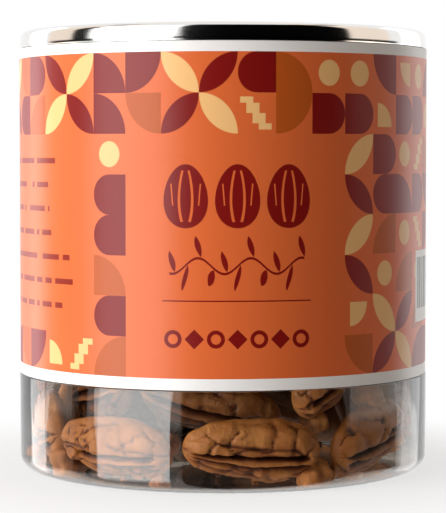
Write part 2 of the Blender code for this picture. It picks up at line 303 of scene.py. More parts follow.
@dataclass(frozen=True)
class ClearPlastic(Finish):
    """Clear bottle plastic, with faint flow lines and handling haze."""

    refraction: float = 1.57
    haze: float = 0.012
    tint: Colour = (0.9, 0.9, 0.89)

    def make(self) -> bpy.types.Material:
        """Builds the material. Light on its way to what lies inside passes straight through.

        Returns:
            The material.
        """
        material, tree = self.start()
        place = tree.place()
        haze = tree.noise(place, 0.12, 4.0, 0.6)
        x, y, z = tree.split(place)
        flow = tree.noise(tree.join(x * 0.25, y * 0.25, z * 0.02), 1.0, 2.0)
        shader = self.shader(tree, {
            "Roughness": haze * self.haze + self.roughness,
            "IOR": self.refraction,
            "Transmission Weight": 1.0,
            "Normal": self.bump(tree, flow, 0.00012, 0.35),
        })
        through = tree.make("ShaderNodeBsdfTransparent", {}, {"Color": self.tint})
        path = tree.make("ShaderNodeLightPath")
        straight = tree.most(Wire(tree, path.outputs["Is Shadow Ray"]),
                             Wire(tree, path.outputs["Is Diffuse Ray"]))
        self.close(tree, tree.shaders(straight, shader, through))
        return material


@dataclass(frozen=True)
class RolledAluminium(Finish):
    """Lacquered aluminium sheet, with its rolling grain, scuffs and stamping marks."""

    grain: float = 0.05
    scuff: float = 0.12
    shade: float = 0.84

    def make(self) -> bpy.types.Material:
        """Builds the material.

        Returns:
            The material.
        """
        material, tree = self.start()
        place = tree.place()
        x, y, z = tree.split(place)
        grain = tree.noise(tree.join(x * 9.0, y * 0.22, z * 9.0), 1.0, 3.0, 0.6)
        cloud = tree.noise(place, 0.09, 3.0)
        scuff = tree.ease(tree.noise(tree.join(x * 0.5, y * 3.0, z * 2.0), 1.0, 5.0, 0.7), 0.6, 0.8)
        dull = grain * self.grain + cloud * 0.05 + scuff * self.scuff
        shader = self.shader(tree, {
            "Base Color": tree.mix(cloud * 0.5 + grain * 0.3, self.colour,
                                   tuple(c * self.shade for c in self.colour)),
            "Roughness": dull + self.roughness,
            "Normal": self.bump(tree, grain, 0.00001, 0.3),
            "Coat Roughness": 0.08,
        })
        self.close(tree, shader)
        return material


@dataclass(frozen=True)
class SealCompound(Finish):
    """Cast sealing rubber, with a fine skin."""

    shade: float = 0.8

    def make(self) -> bpy.types.Material:
        """Builds the material.

        Returns:
            The material.
        """
        material, tree = self.start()
        skin = tree.noise(tree.place(), 1.2, 4.0)
        dark = tuple(c * self.shade for c in self.colour)
        shader = self.shader(tree, {
            "Base Color": tree.mix(skin, dark, self.colour),
            "Roughness": skin * 0.2 + self.roughness,
            "Normal": self.bump(tree, skin, 0.00005),
        })
        self.close(tree, shader)
        return material


@dataclass(frozen=True)
class PecanSkin(Finish):
    """The thin brown skin of a shelled pecan half.

    It reads three attributes of each kernel: "skin_place", the place along, across and above the
    kernel in millimetres, "crevice", how deep in a groove or crack a point lies, where the skin
    gets painted shade, and "tone", one number for the whole kernel. Towards the can's middle the
    skin is darkened as painted shade, standing for the shade deep in the heap.

    Attributes:
        pale: The lightest skin.
        reddish: The skin's reddish streaks, flecks and cracks, laid in shallow crevices too, there
            partly as painted shade.
        dark: Near-black painted shade at the bottom of a groove and deep in the heap.
        painted_shade_span: From the can's axis, in millimetres, where the heap's painted shade
            fades out.
        painted_shade_strength: How dark that painted shade is at the inner one.
    """

    pale: Colour = (0.58, 0.235, 0.066)
    reddish: Colour = (0.15, 0.036, 0.009)
    dark: Colour = (0.022, 0.006, 0.002)
    painted_shade_span: Point = (27.0, 37.0)
    painted_shade_strength: float = 0.78

    def make(self) -> bpy.types.Material:
        """Builds the material.

        Returns:
            The material.
        """
        material, tree = self.start()
        place = tree.wire("ShaderNodeAttribute", {"attribute_name": "skin_place"}, output="Vector")
        crevice = tree.wire("ShaderNodeAttribute", {"attribute_name": "crevice"}, output="Fac")
        tone = tree.wire("ShaderNodeAttribute", {"attribute_name": "tone"}, output="Fac")
        along, across, above = tree.split(place)
        cloud = tree.noise(place, 0.22, 4.0, 0.6)
        streak = tree.noise(tree.join(along * 1.5, across * 0.3, above * 0.3), 1.0, 4.0, 0.65)
        grit = tree.noise(place, 2.6, 5.0, 0.7)
        fleck = tree.ease(tree.noise(place, 1.1, 2.0), 0.64, 0.76)
        bent = tree.join(along * 0.34 + cloud * 2.2, across * 0.3 + cloud * 1.6, above * 0.3)
        vein = abs(tree.noise(bent, 0.55, 2.0) - 0.5)
        crack = (1.0 - tree.ease(vein, 0.002, 0.014)) * tree.ease(cloud, 0.45, 0.60)
        skin = tree.mix(tree.ease(cloud, 0.3, 0.72), self.colour, self.pale)
        skin = tree.mix(tree.ease(streak, 0.45, 0.75) * 0.5, skin, self.reddish)
        skin = tree.mix(tone * 0.5, skin, self.colour)
        skin = tree.mix(fleck * 0.45, skin, self.reddish)
        # Crevices: shallow ones redden, partly the skin's own colour and partly painted shade; deep
        # ones go near black as painted shade.
        skin = tree.mix(tree.ease(crevice, 0.08, 0.65), skin, self.reddish)
        skin = tree.mix(tree.ease(crevice, 0.4, 1.0), skin, self.dark)
        skin = tree.mix(crack * 0.45, skin, self.reddish)
        # Painted shade: the skin darkens towards the can's axis, standing for the shade deep in the
        # heap.
        side, front, _ = tree.split(tree.place())
        outward = tree.math("SQRT", side * side + front * front)
        skin = tree.mix((1.0 - tree.ease(outward, *self.painted_shade_span)) * self.painted_shade_strength, skin, self.dark)
        wrinkle = tree.noise(tree.join(along * 0.9, across * 0.45, above * 0.45), 1.0, 5.0, 0.7)
        height = streak * 0.3 + grit * 0.2 + wrinkle * 0.5 - crack * 0.3
        shader = self.shader(tree, {
            "Base Color": skin,
            "Roughness": self.roughness + grit * 0.2 - tree.ease(grit, 0.5, 0.75) * 0.16,
            "Normal": self.bump(tree, height, 0.0005, 0.6),
            "Specular IOR Level": 0.3,
        })
        self.close(tree, shader)
        return material


@dataclass(frozen=True)
class Inks:
    """The label's printing inks, linear."""

    ground: Colour = (0.70, 0.135, 0.033)
    red: Colour = (0.20, 0.004, 0.003)
    cream: Colour = (0.86, 0.50, 0.20)
    ochre: Colour = (0.46, 0.085, 0.008)
    white: Colour = (0.87, 0.855, 0.84)
    black: Colour = (0.02, 0.02, 0.02)


@dataclass(frozen=True)
class Emblem:
    """The sizes of the front panel's drawing, in millimetres. Heights are above the base."""

    half: float = 14.9
    kernel_pitch: float = 10.0
    kernel_half: Point = (4.3, 6.1)
    kernel_z: float = 57.3
    stem_z: float = 44.0
    stem_half: float = 13.2
    leaf_pitch: float = 2.534
    rule_z: float = 37.3
    rule_half: float = 14.6
    bead_z: float = 30.0
    bead_pitch: float = 29.2 / 7.0


class Print(Enum):
    """What a stretch of the label shows."""

    MARGIN = "margin"
    TILES = "tiles"
    EMBLEM = "emblem"
    LINES = "lines"
    STRIPES = "stripes"
    BACKING = "backing"


@dataclass(frozen=True)
class LabelFilm(Finish):
    """Satin printed film. One material for each kind of print on it.

    Attributes:
        inks: The printing inks.
        radius: The label's outer radius, in millimetres.
        tile_turn: A tile's width, in degrees.
        tile_start: Where a tile's edge lies, in degrees round from the front.
        tile_rise: A tile's height, in millimetres.
        tile_base: The lowest tile's bottom edge, in millimetres.
        flower_share: How many blocks of four tiles are flowers.
        bars_start: Where the rows of bars begin, in degrees round from the front.
        bars_top: The first row's top, in millimetres.
        bar_pitch: From one row of bars to the next, in millimetres.
        bar_rows: How many rows of bars there are.
        stripe_width: A stripe's width, in millimetres.
        stripe_turns: The stripes' left and right ends, in degrees round from the front.
        stripe_rows: The stripes' feet and heads, in millimetres.
        edge: How soft a printed edge is, as a share of the shape.
    """

    inks: Inks = Inks()
    emblem: Emblem = Emblem()
    radius: float = 42.5
    tile_turn: float = 10.0
    tile_start: float = 3.8
    tile_rise: float = 7.8
    tile_base: float = 22.4
    flower_share: float = 0.34
    bars_start: float = -84.0
    bars_top: float = 66.2
    bar_pitch: float = 4.75
    bar_rows: int = 7
    stripe_width: float = 0.42
    stripe_turns: Point = (68.4, 97.0)
    stripe_rows: Point = (34.0, 44.4)
    edge: float = 0.012

    def make(self, kind: Print) -> bpy.types.Material:
        """Builds the material for one kind of print.

        Args:
            kind: What is printed.

        Returns:
            The material.
        """
        material, tree = self.start()
        material.name = f"{self.name}_{kind.value}"
        place = tree.place()
        x, y, z = tree.split(place)
        turn = tree.turn(x, y)
        art: dict[Print, Callable[[Tree, Wire, Wire], object]] = {
            Print.TILES: self._tiles, Print.EMBLEM: self._emblem,
            Print.LINES: self._lines, Print.STRIPES: self._stripes,
        }
        colour = art[kind](tree, turn, z) if kind in art else self.inks.white
        mottle = tree.noise(place, 2.2, 4.0, 0.65)
        cloud = tree.noise(place, 0.06, 2.0)
        colour = tree.scaled(colour, 1.03 - mottle * 0.05 - cloud * 0.02)
        ripple = tree.noise(tree.join(x * 0.3, y * 0.3, z * 0.05), 1.0, 2.0)
        shader = self.shader(tree, {
            "Base Color": colour,
            "Roughness": mottle * 0.08 + cloud * 0.06 + self.roughness,
            "Specular IOR Level": 0.36,
            "Normal": self.bump(tree, mottle * 0.06 + ripple, 0.00008, 0.35),
        })
        self.close(tree, shader)
        return material

    def _fill(self, tree: Tree, distance: Wire) -> Wire:
        """Returns 1 inside a shape whose edge is at distance 0, with a fine soft edge."""
        return 1.0 - tree.ease(distance, -self.edge, self.edge)

    def _across(self, turn: Wire, start: float) -> Wire:
        """Returns millimetres round the label from a bearing in degrees."""
        return (turn - start) * (math.radians(1.0) * self.radius)

    def _tiles(self, tree: Tree, turn: Wire, z: Wire) -> Wire:
        """Draws the tiles: flowers of four petals, and single quarters, arches, discs and stairs.

        Args:
            tree: The material's tree.
            turn: Degrees round from the front.
            z: Millimetres above the base.

        Returns:
            The colour.
        """
        inks = self.inks
        column = (turn - self.tile_start) / self.tile_turn
        row = (z - self.tile_base) / self.tile_rise
        i, j = tree.math("FLOOR", column), tree.math("FLOOR", row)
        odd_i, odd_j = tree.odd(i), tree.odd(j)
        flower, _, mood = tree.dice((i - odd_i) * 0.5, (j - odd_j) * 0.5, 6.0)
        kind, flip_u, flip_v = tree.dice(i, j, 3.0)
        u, v = column - i, row - j

        def mirrored(value: Wire, flag: Wire) -> Wire:
            """Returns value, or 1 - value where flag is 1."""
            return value + flag * (1.0 - value * 2.0)

        # The four tiles of a flower turn their petals to its middle.
        is_flower = flower < self.flower_share
        pu, pv = mirrored(u, odd_i), mirrored(v, odd_j)
        lens = tree.most(tree.length(pu - 1.0, pv), tree.length(pu, pv - 1.0)) - 1.0
        petal = self._fill(tree, lens) * is_flower
        swapped = abs(abs(odd_i - odd_j) - (mood > 0.5))

        # Any other tile holds one shape, turned at random.
        qu, qv = mirrored(u, flip_u > 0.5), mirrored(v, flip_v > 0.5)
        quarter = self._fill(tree, tree.length(qu, qv) - 1.0)
        small = self._fill(tree, tree.length(qu - 0.18, qv - 0.18) - 0.6)
        small = small * (qu > 0.18) * (qv > 0.18)
        disc = self._fill(tree, tree.length(u - 0.5, v - 0.5) - 0.32)
        stair = qu - 0.12 - tree.math("FLOOR", v * 4.0) * 0.16
        stair = (stair > 0.0) * (stair < 0.34) * (abs(v - 0.5) < 0.40)
        arch = tree.most(self._fill(tree, tree.length(qu - 0.5, v - 0.5) - 0.5), qu < 0.5)
        loose = 1.0 - is_flower

        def picked(low: float, high: float) -> Wire:
            """Returns 1 where the tile's number is between low and high."""
            return (kind > low) * (kind < high) * loose

        red = tree.most(quarter * picked(-1.0, 0.27), arch * picked(0.27, 0.46), petal * swapped)
        ochre = quarter * picked(0.46, 0.62)
        cream = tree.most(disc * picked(0.62, 0.78), small * picked(0.78, 0.87),
                          stair * picked(0.87, 0.96), petal * (1.0 - swapped))
        colour = tree.mix(ochre, inks.ground, inks.ochre)
        colour = tree.mix(cream, colour, inks.cream)
        return tree.mix(red, colour, inks.red)

    def _emblem(self, tree: Tree, turn: Wire, z: Wire) -> Wire:
        """Draws the front panel: three kernels, a leafy stem, a rule and a row of beads.

        Args:
            tree: The material's tree.
            turn: Degrees round from the front.
            z: Millimetres above the base.

        Returns:
            The colour.
        """
        sizes = self.emblem
        across = self._across(turn, self.tile_start)
        rule = self._fill(tree, abs(z - sizes.rule_z) - 0.13) * (abs(across) < sizes.rule_half)
        ink = tree.most(self._kernels(tree, across, z - sizes.kernel_z),
                        self._stem(tree, across, z - sizes.stem_z), rule,
                        self._beads(tree, across, z - sizes.bead_z))
        return tree.mix(ink * (abs(across) < sizes.half), self.inks.ground, self.inks.red)

    def _kernels(self, tree: Tree, across: Wire, up: Wire) -> Wire:
        """Draws three plain kernels, each with two long grooves and two short nicks.

        Args:
            tree: The material's tree.
            across: Millimetres from the emblem's middle line.
            up: Millimetres above the kernels' middle.

        Returns:
            1 where there is ink.
        """
        half_wide, half_tall = self.emblem.kernel_half
        number = tree.math("ROUND", across / self.emblem.kernel_pitch)
        a, b = (across - number * self.emblem.kernel_pitch) / half_wide, up / half_tall
        narrow = 1.0 + b * 0.14
        body = self._fill(tree, tree.length(a * narrow, b) - 1.0)
        bend = abs(a * narrow) - 0.30 * (1.0 - b * b * 0.75)
        groove = self._fill(tree, abs(bend) - 0.055) * (abs(b) < 0.8)
        nick = self._fill(tree, abs(abs(a) - 0.62 - b * 0.12) - 0.03) * (abs(b - 0.05) < 0.34)
        return body * (1.0 - tree.most(groove, nick)) * (abs(number) < 1.5)

    def _stem(self, tree: Tree, across: Wire, up: Wire) -> Wire:
        """Draws a waving stem, with leaves above and below it by turns.

        Args:
            tree: The material's tree.
            across: Millimetres from the emblem's middle line.
            up: Millimetres above the stem's middle.

        Returns:
            1 where there is ink.
        """
        pitch = self.emblem.leaf_pitch
        off = up - tree.math("SINE", across * 0.62) * 1.5
        stem = self._fill(tree, abs(off) - 0.24) * (abs(across) < self.emblem.stem_half)
        number = tree.math("ROUND", across / pitch)
        side = tree.odd(number) * 2.0 - 1.0
        along = (off - side * 2.3) / 2.0
        lean = (across - number * pitch) / 1.15 + along * 0.45 * side
        leaf = tree.most(tree.length(lean - 0.75, along), tree.length(lean + 0.75, along)) - 1.25
        return tree.most(stem, self._fill(tree, leaf) * (abs(number) < 5.5))

    def _beads(self, tree: Tree, across: Wire, up: Wire) -> Wire:
        """Draws a row of rings and lozenges by turns.

        Args:
            tree: The material's tree.
            across: Millimetres from the emblem's middle line.
            up: Millimetres above the row's middle.

        Returns:
            1 where there is ink.
        """
        pitch = self.emblem.bead_pitch
        number = tree.math("ROUND", across / pitch)
        side = across - number * pitch
        odd = tree.odd(number)
        ring = self._fill(tree, abs(tree.length(side, up) - 1.35) - 0.38)
        gem = self._fill(tree, (abs(side) + abs(up) - 1.9) * 0.7)
        return (ring * odd + gem * (1.0 - odd)) * (abs(number) < 3.5)

    def _lines(self, tree: Tree, turn: Wire, z: Wire) -> Wire:
        """Draws the side panel: ragged rows of plain bars.

        Args:
            tree: The material's tree.
            turn: Degrees round from the front.
            z: Millimetres above the base.

        Returns:
            The colour.
        """
        across = self._across(turn, self.bars_start)
        below = self.bars_top - z
        row = tree.math("FLOOR", below / self.bar_pitch)
        offset = below - row * self.bar_pitch - 2.2
        end, start, _ = tree.dice(row, 0.0, 9.0)
        gap, _, _ = tree.dice(tree.math("FLOOR", across / 1.25 + start), row, 2.0)
        bars = self._fill(tree, abs(offset) - 0.55) * (gap > 0.2) * (across > 0.8)
        bars = bars * (across < end * 9.0 + 21.0) * (row > -0.5) * (row < self.bar_rows - 0.5)
        return tree.mix(bars * 0.9, self.inks.ground, self.inks.red)

    def _stripes(self, tree: Tree, turn: Wire, z: Wire) -> Wire:
        """Draws the white stock panel: upright stripes that stand for a stock code.

        Args:
            tree: The material's tree.
            turn: Degrees round from the front.
            z: Millimetres above the base.

        Returns:
            The colour.
        """
        (left, right), (foot, head) = self.stripe_turns, self.stripe_rows
        stripe, _, _ = tree.dice(
            tree.math("FLOOR", self._across(turn, 0.0) / self.stripe_width), 0.0, 4.0)
        dark = (stripe > 0.5) * (z > foot) * (z < head) * (turn > left) * (turn < right)
        return tree.mix(dark, self.inks.white, self.inks.black)


# --- Modelling helpers ----------------------------------------------------------------------


class Bench:
    """Blender's tools, as used by hand, on one piece at a time."""

    @staticmethod
    def clear_hand() -> None:
        """Leaves edit mode and lets go of everything."""
        if bpy.context.mode != "OBJECT":
            bpy.ops.object.mode_set(mode="OBJECT")
        bpy.ops.object.select_all(action="DESELECT")

    @staticmethod
    def take(piece: bpy.types.Object) -> None:
        """Makes a piece the only one in hand.

        Args:
            piece: The piece.
        """
        Bench.clear_hand()
        piece.select_set(True)
        bpy.context.view_layer.objects.active = piece

    @staticmethod
    def settle(piece: bpy.types.Object, name: str, angle: float = 35.0) -> bpy.types.Object:
        """Names a piece, puts its place into its mesh and shades it smooth.

        Args:
            piece: The piece.
            name: Its name.
            angle: Edges sharper than this many degrees stay sharp.

        Returns:
            The piece.
        """
        Bench.take(piece)
        bpy.ops.object.transform_apply(location=True, rotation=True, scale=True)
        bpy.ops.object.shade_smooth_by_angle(angle=math.radians(angle))
        piece.name = piece.data.name = name
        return piece

    @staticmethod
    def turn_profile(points: Sequence[Point], steps: int) -> bpy.types.Object:
        """Draws a half outline and spins it about Z into a closed solid.

        Args:
            points: (radius, height) in millimetres. An outline that starts on the axis ends on
                it, and any other is closed.
            steps: How many sides the solid has.

        Returns:
            The new object, in object mode.
        """
        Bench.clear_hand()
        (r, z), loop = points[0], points[0][0] > 0
        bpy.ops.mesh.primitive_plane_add(size=MM, location=(r * MM, 0.0, z * MM))
        piece = bpy.context.object
        bpy.ops.object.transform_apply(location=True)
        bpy.ops.object.mode_set(mode="EDIT")
        bpy.ops.mesh.merge(type="CENTER")
        for (r0, z0), (r1, z1) in zip(points, points[1:]):
            bpy.ops.mesh.extrude_region_move(
                TRANSFORM_OT_translate={"value": ((r1 - r0) * MM, 0.0, (z1 - z0) * MM)})
        bpy.ops.mesh.select_all(action="SELECT")
        if loop:
            bpy.ops.object.mode_set(mode="OBJECT")
            last = len(piece.data.vertices) - 1
            for vertex in piece.data.vertices:
                vertex.select = vertex.index in (0, last)
            bpy.ops.object.mode_set(mode="EDIT")
            bpy.ops.mesh.edge_face_add()
            bpy.ops.mesh.select_all(action="SELECT")
        bpy.ops.mesh.spin(steps=steps, angle=math.tau, center=(0, 0, 0), axis=(0, 0, 1))
        bpy.ops.mesh.select_all(action="SELECT")
        bpy.ops.mesh.remove_doubles(threshold=WELD)
        bpy.ops.mesh.normals_make_consistent(inside=False)
        bpy.ops.object.mode_set(mode="OBJECT")
        return piece

    @staticmethod
    def modify(piece: bpy.types.Object, kind: str, **settings: object) -> None:
        """Adds a modifier, sets it and applies it.

        Args:
            piece: The piece it goes on.
            kind: The modifier's type, such as SOLIDIFY.
            settings: Its properties.
        """
        Bench.take(piece)
        modifier = piece.modifiers.new(kind.lower(), kind)
        for name, value in settings.items():
            setattr(modifier, name, value)
        bpy.ops.object.modifier_apply(modifier=modifier.name)

    @staticmethod
    def points(piece: bpy.types.Object) -> np.ndarray:
        """Reads a piece's vertices.

        Args:
            piece: The piece.

        Returns:
            Their places in millimetres, one row each.
        """
        flat = np.empty(len(piece.data.vertices) * 3, np.float32)
        piece.data.vertices.foreach_get("co", flat)
        return flat.reshape(-1, 3).astype(float) / MM

    @staticmethod
    def press(piece: bpy.types.Object, points: np.ndarray) -> None:
        """Moves a piece's vertices to these places, in millimetres."""
        piece.data.vertices.foreach_set("co", (points * MM).astype(np.float32).ravel())
        piece.data.update()

    @staticmethod
    def dress(piece: bpy.types.Object, *materials: bpy.types.Material) -> None:
        """Gives a piece its materials.

        Args:
            piece: The piece.
            materials: Its materials, in the order of its slots.
        """
        piece.data.materials.clear()
        for material in materials:
            piece.data.materials.append(material)


def arc(centre: Point, radius: float, start: float, end: float, count: int) -> list[Point]:
    """Returns points round a corner, between two angles in degrees."""
    angles = np.radians(np.linspace(start, end, count))
    return [(centre[0] + radius * math.cos(a), centre[1] + radius * math.sin(a)) for a in angles]


def hump(offset: np.ndarray, width: float | np.ndarray, power: float = 2.0) -> np.ndarray:
    """Returns 1 at offset 0, falling away to 0 over about width on either side."""
    return np.exp(-np.abs(offset / width) ** power)


def eased(value: np.ndarray, low: float, high: float) -> np.ndarray:
    """Returns 0 below low and 1 above high, with an eased step between."""
    t = np.clip((value - low) / (high - low), 0.0, 1.0)
    return t * t * (3.0 - 2.0 * t)


def hold(piece: bpy.types.Object, body: str, slot: str, *nodes: str) -> None:
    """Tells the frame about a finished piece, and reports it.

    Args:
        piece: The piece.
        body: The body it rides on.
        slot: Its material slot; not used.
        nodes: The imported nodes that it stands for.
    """
    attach(piece, body)
    if nodes:
        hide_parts(*nodes)
    LOG.info("%s rides on %s, %d faces", piece.name, body, len(piece.data.polygons))


# --- The clear can --------------------------------------------------------------------------


@dataclass
class ClearCan:
    """The one-piece clear can: base, wall and the neck that goes up into the seam."""

    radius: float = 42.5
    inner: float = 41.9
    floor: float = 0.45
    rise: float = 2.0
    dome: float = 33.0
    ring: float = 34.5
    corner: float = 3.2
    inner_corner: float = 2.4
    recess_top: float = 86.6
    label_foot: float = 20.2
    label_radius: float = 42.22
    neck: float = 41.5
    neck_wall: float = 0.8
    top: float = 89.2
    steps: int = 256

    def _dome(self, radius: float) -> float:
        """Returns the base's height above the standing ring at a radius."""
        return self.rise * max(0.0, 1.0 - (radius / self.dome) ** 2)

    def _outline(self) -> list[Point]:
        """Draws the can's half outline.

        Returns:
            The points, from the axis under the base to the axis inside.
        """
        radii = (6.0, 11.0, 16.0, 21.0, 25.0, 29.0, 31.5, self.dome)
        middle = self._dome(0.0)
        gate = [(0.0, middle - 0.35), (0.9, middle - 0.32), (1.3, self._dome(1.3)),
                (3.0, self._dome(3.0))]
        under = gate + [(r, self._dome(r)) for r in radii] + [(self.ring, 0.0)]
        edge = arc((self.radius - self.corner, self.corner), self.corner, -90, 0, 14)
        neck_inner = self.neck - self.neck_wall
        wall = [
            (self.radius, 10.0), (self.radius, self.label_foot - 0.4),
            (self.radius - 0.06, self.label_foot - 0.24),
            (self.label_radius, self.label_foot - 0.1), (self.label_radius, 50.0),
            (self.label_radius, self.recess_top - 0.5), (self.neck, self.recess_top),
            (self.neck, self.top - 0.2), (self.neck - 0.2, self.top),
            (neck_inner + 0.2, self.top), (neck_inner, self.top - 0.2),
            (neck_inner, self.recess_top - 0.4),
            (self.inner, self.recess_top - 1.4), (self.inner, 50.0), (self.inner, 20.0),
        ]
        centre = (self.inner - self.inner_corner, self.floor + self.inner_corner)
        inside = arc(centre, self.inner_corner, 0, -90, 12)
        inside += [(r, self._dome(r) + self.floor) for r in reversed(radii)]
        return under + edge + wall + inside + [(0.0, middle + self.floor)]

    def build(self, plastic: ClearPlastic) -> None:
        """Builds the can and dresses it.

        Args:
            plastic: Its finish.
        """
        can = Bench.settle(Bench.turn_profile(self._outline(), self.steps), "clear_can", 50)
        Bench.dress(can, plastic.make())
        hold(can, "can", "clear_plastic", "can_body")


# --- The seamed end -------------------------------------------------------------------------


@dataclass
class SeamedEnd:
    """The metal end: rolled seam, chuck wall, countersink and stamped panel, with its rivet."""

    seam: float = 42.25
    height: float = 90.5
    seam_foot: float = 86.9
    sheet: float = 0.4
    sink: float = 38.3
    sink_floor: float = 85.85
    panel: float = 87.2
    panel_edge: float = 36.9
    well: float = 26.2
    well_depth: float = 0.6
    score: float = 36.2
    chuck_wall: tuple[Point, ...] = (
        (39.3, 87.6), (39.85, 89.4), (39.98, 89.8), (40.12, 90.15), (40.35, 90.38))
    roll: float = 1.25
    beads: tuple[tuple[float, float, float], ...] = ((31.6, 0.28, 0.75), (21.5, 0.22, 0.7))
    rivet_y: float = 30.5
    rivet_head: float = 88.2
    steps: int = 256

    def _outline(self) -> list[Point]:
        """Draws the end's half outline.

        Returns:
            The points, from the axis on top, out round the seam, to the axis below.
        """
        low = self.panel - self.well_depth
        top = [(0.0, low)] + [(r, low) for r in np.linspace(2.0, self.well - 0.5, 20)]
        top += [
            (self.well, low + 0.06), (self.well + 0.4, low + 0.3),
            (self.well + 0.8, self.panel - 0.05), (self.well + 1.2, self.panel),
        ]
        top += [(r, self.panel) for r in np.linspace(28.2, 35.6, 16)]
        top += [
            (self.score - 0.18, self.panel), (self.score, self.panel - 0.16),
            (self.score + 0.18, self.panel), (self.panel_edge, self.panel),
        ]
        top += arc((self.panel_edge, self.panel - 0.5), 0.5, 80, 10, 4)
        top += [(self.sink - 0.7, self.sink_floor + 0.45)]
        top += arc((self.sink, self.sink_floor + 0.35), 0.45, 200, 340, 8)
        top += self.chuck_wall
        centre = (self.seam - self.roll - 0.1, self.height - self.roll)
        seam = arc(centre, self.roll, 105, 8, 12)
        seam += [
            (self.seam - 0.02, 88.6), (self.seam, 87.9), (self.seam, self.seam_foot + 0.35),
            (self.seam - 0.08, self.seam_foot + 0.1), (self.seam - 0.25, self.seam_foot + 0.02),
            (self.seam - self.sheet, self.seam_foot + 0.12),
            (self.seam - self.sheet, 89.4), (41.4, 90.05), (40.7, 90.05),
        ]
        under = [
            (40.3, 89.5), (self.sink + 1.05, self.sink_floor + 0.35),
            (self.sink + 0.6, self.sink_floor - 0.3), (self.sink, self.sink_floor - self.sheet),
            (self.sink - 0.7, self.sink_floor - 0.3), (self.sink - 1.2, self.panel - 0.6),
            (self.panel_edge - 0.2, self.panel - self.sheet),
            (self.well + 1.1, self.panel - self.sheet), (self.well + 0.2, low - self.sheet),
            (0.0, low - self.sheet),
        ]
        return top + seam + under

    def _stamp(self, piece: bpy.types.Object) -> None:
        """Presses the beads, the finger well and an arch into both sides of the panel.

        Args:
            piece: The turned end.
        """
        points = Bench.points(piece)
        x, y, z = points.T
        radius = np.hypot(x, y)
        on_panel = (radius < self.score - 0.3) & (z > 85.9) & (z < 87.4)
        clear = eased(np.hypot(x / 13.0, (y - 24.0) / 17.0), 1.0, 1.12)
        beads = sum(height * hump(radius - at, width) for at, height, width in self.beads) * clear
        dip = -0.22 * (1.0 - eased(np.hypot(x / 8.6, (y - 13.5) / 9.0), 0.82, 1.0))
        arch = 0.2 * hump(np.hypot(x, y + 13.0) - 9.5, 0.8) * (y < -2.0)
        z += np.where(on_panel, beads + dip + arch, 0.0)
        Bench.press(piece, np.stack((x, y, z), axis=1))

    def _rivet(self) -> bpy.types.Object:
        """Turns the rivet, whose flat head holds the tab's tongue.

        Returns:
            The rivet.
        """
        foot, head = self.panel - 0.05, self.rivet_head
        outline = [(0.0, foot), (2.3, foot), (2.1, foot + 0.16), (1.7, foot + 0.32), (1.55, 87.7),
                   (1.55, head), (2.5, head), (2.68, head + 0.1)]
        outline += arc((2.4, head + 0.25), 0.3, 10, 90, 6)
        outline += [(1.6, head + 0.56), (1.2, head + 0.48), (0.9, head + 0.32), (0.0, head + 0.28)]
        rivet = Bench.turn_profile(outline, 64)
        Bench.take(rivet)
        bpy.ops.transform.translate(value=(0.0, self.rivet_y * MM, 0.0))
        return Bench.settle(rivet, "tab_rivet", 40)

    def build(self, metal: RolledAluminium, compound: SealCompound, frame: dict) -> None:
        """Builds the end and its rivet, and dresses the sealing ring inside the seam.

        Args:
            metal: The sheet's finish.
            compound: The sealing ring's finish.
            frame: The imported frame.
        """
        sheet = metal.make()
        end = Bench.turn_profile(self._outline(), self.steps)
        self._stamp(end)
        Bench.settle(end, "easy_open_end", 38)
        Bench.dress(end, sheet)
        hold(end, "can", "end_metal", "seamed_end")
        rivet = self._rivet()
        Bench.dress(rivet, sheet)
        hold(rivet, "can", "end_metal")
        ring = frame["nodes"]["sealing_ring"]
        Bench.dress(ring, compound.make())


# --- The ring pull --------------------------------------------------------------------------


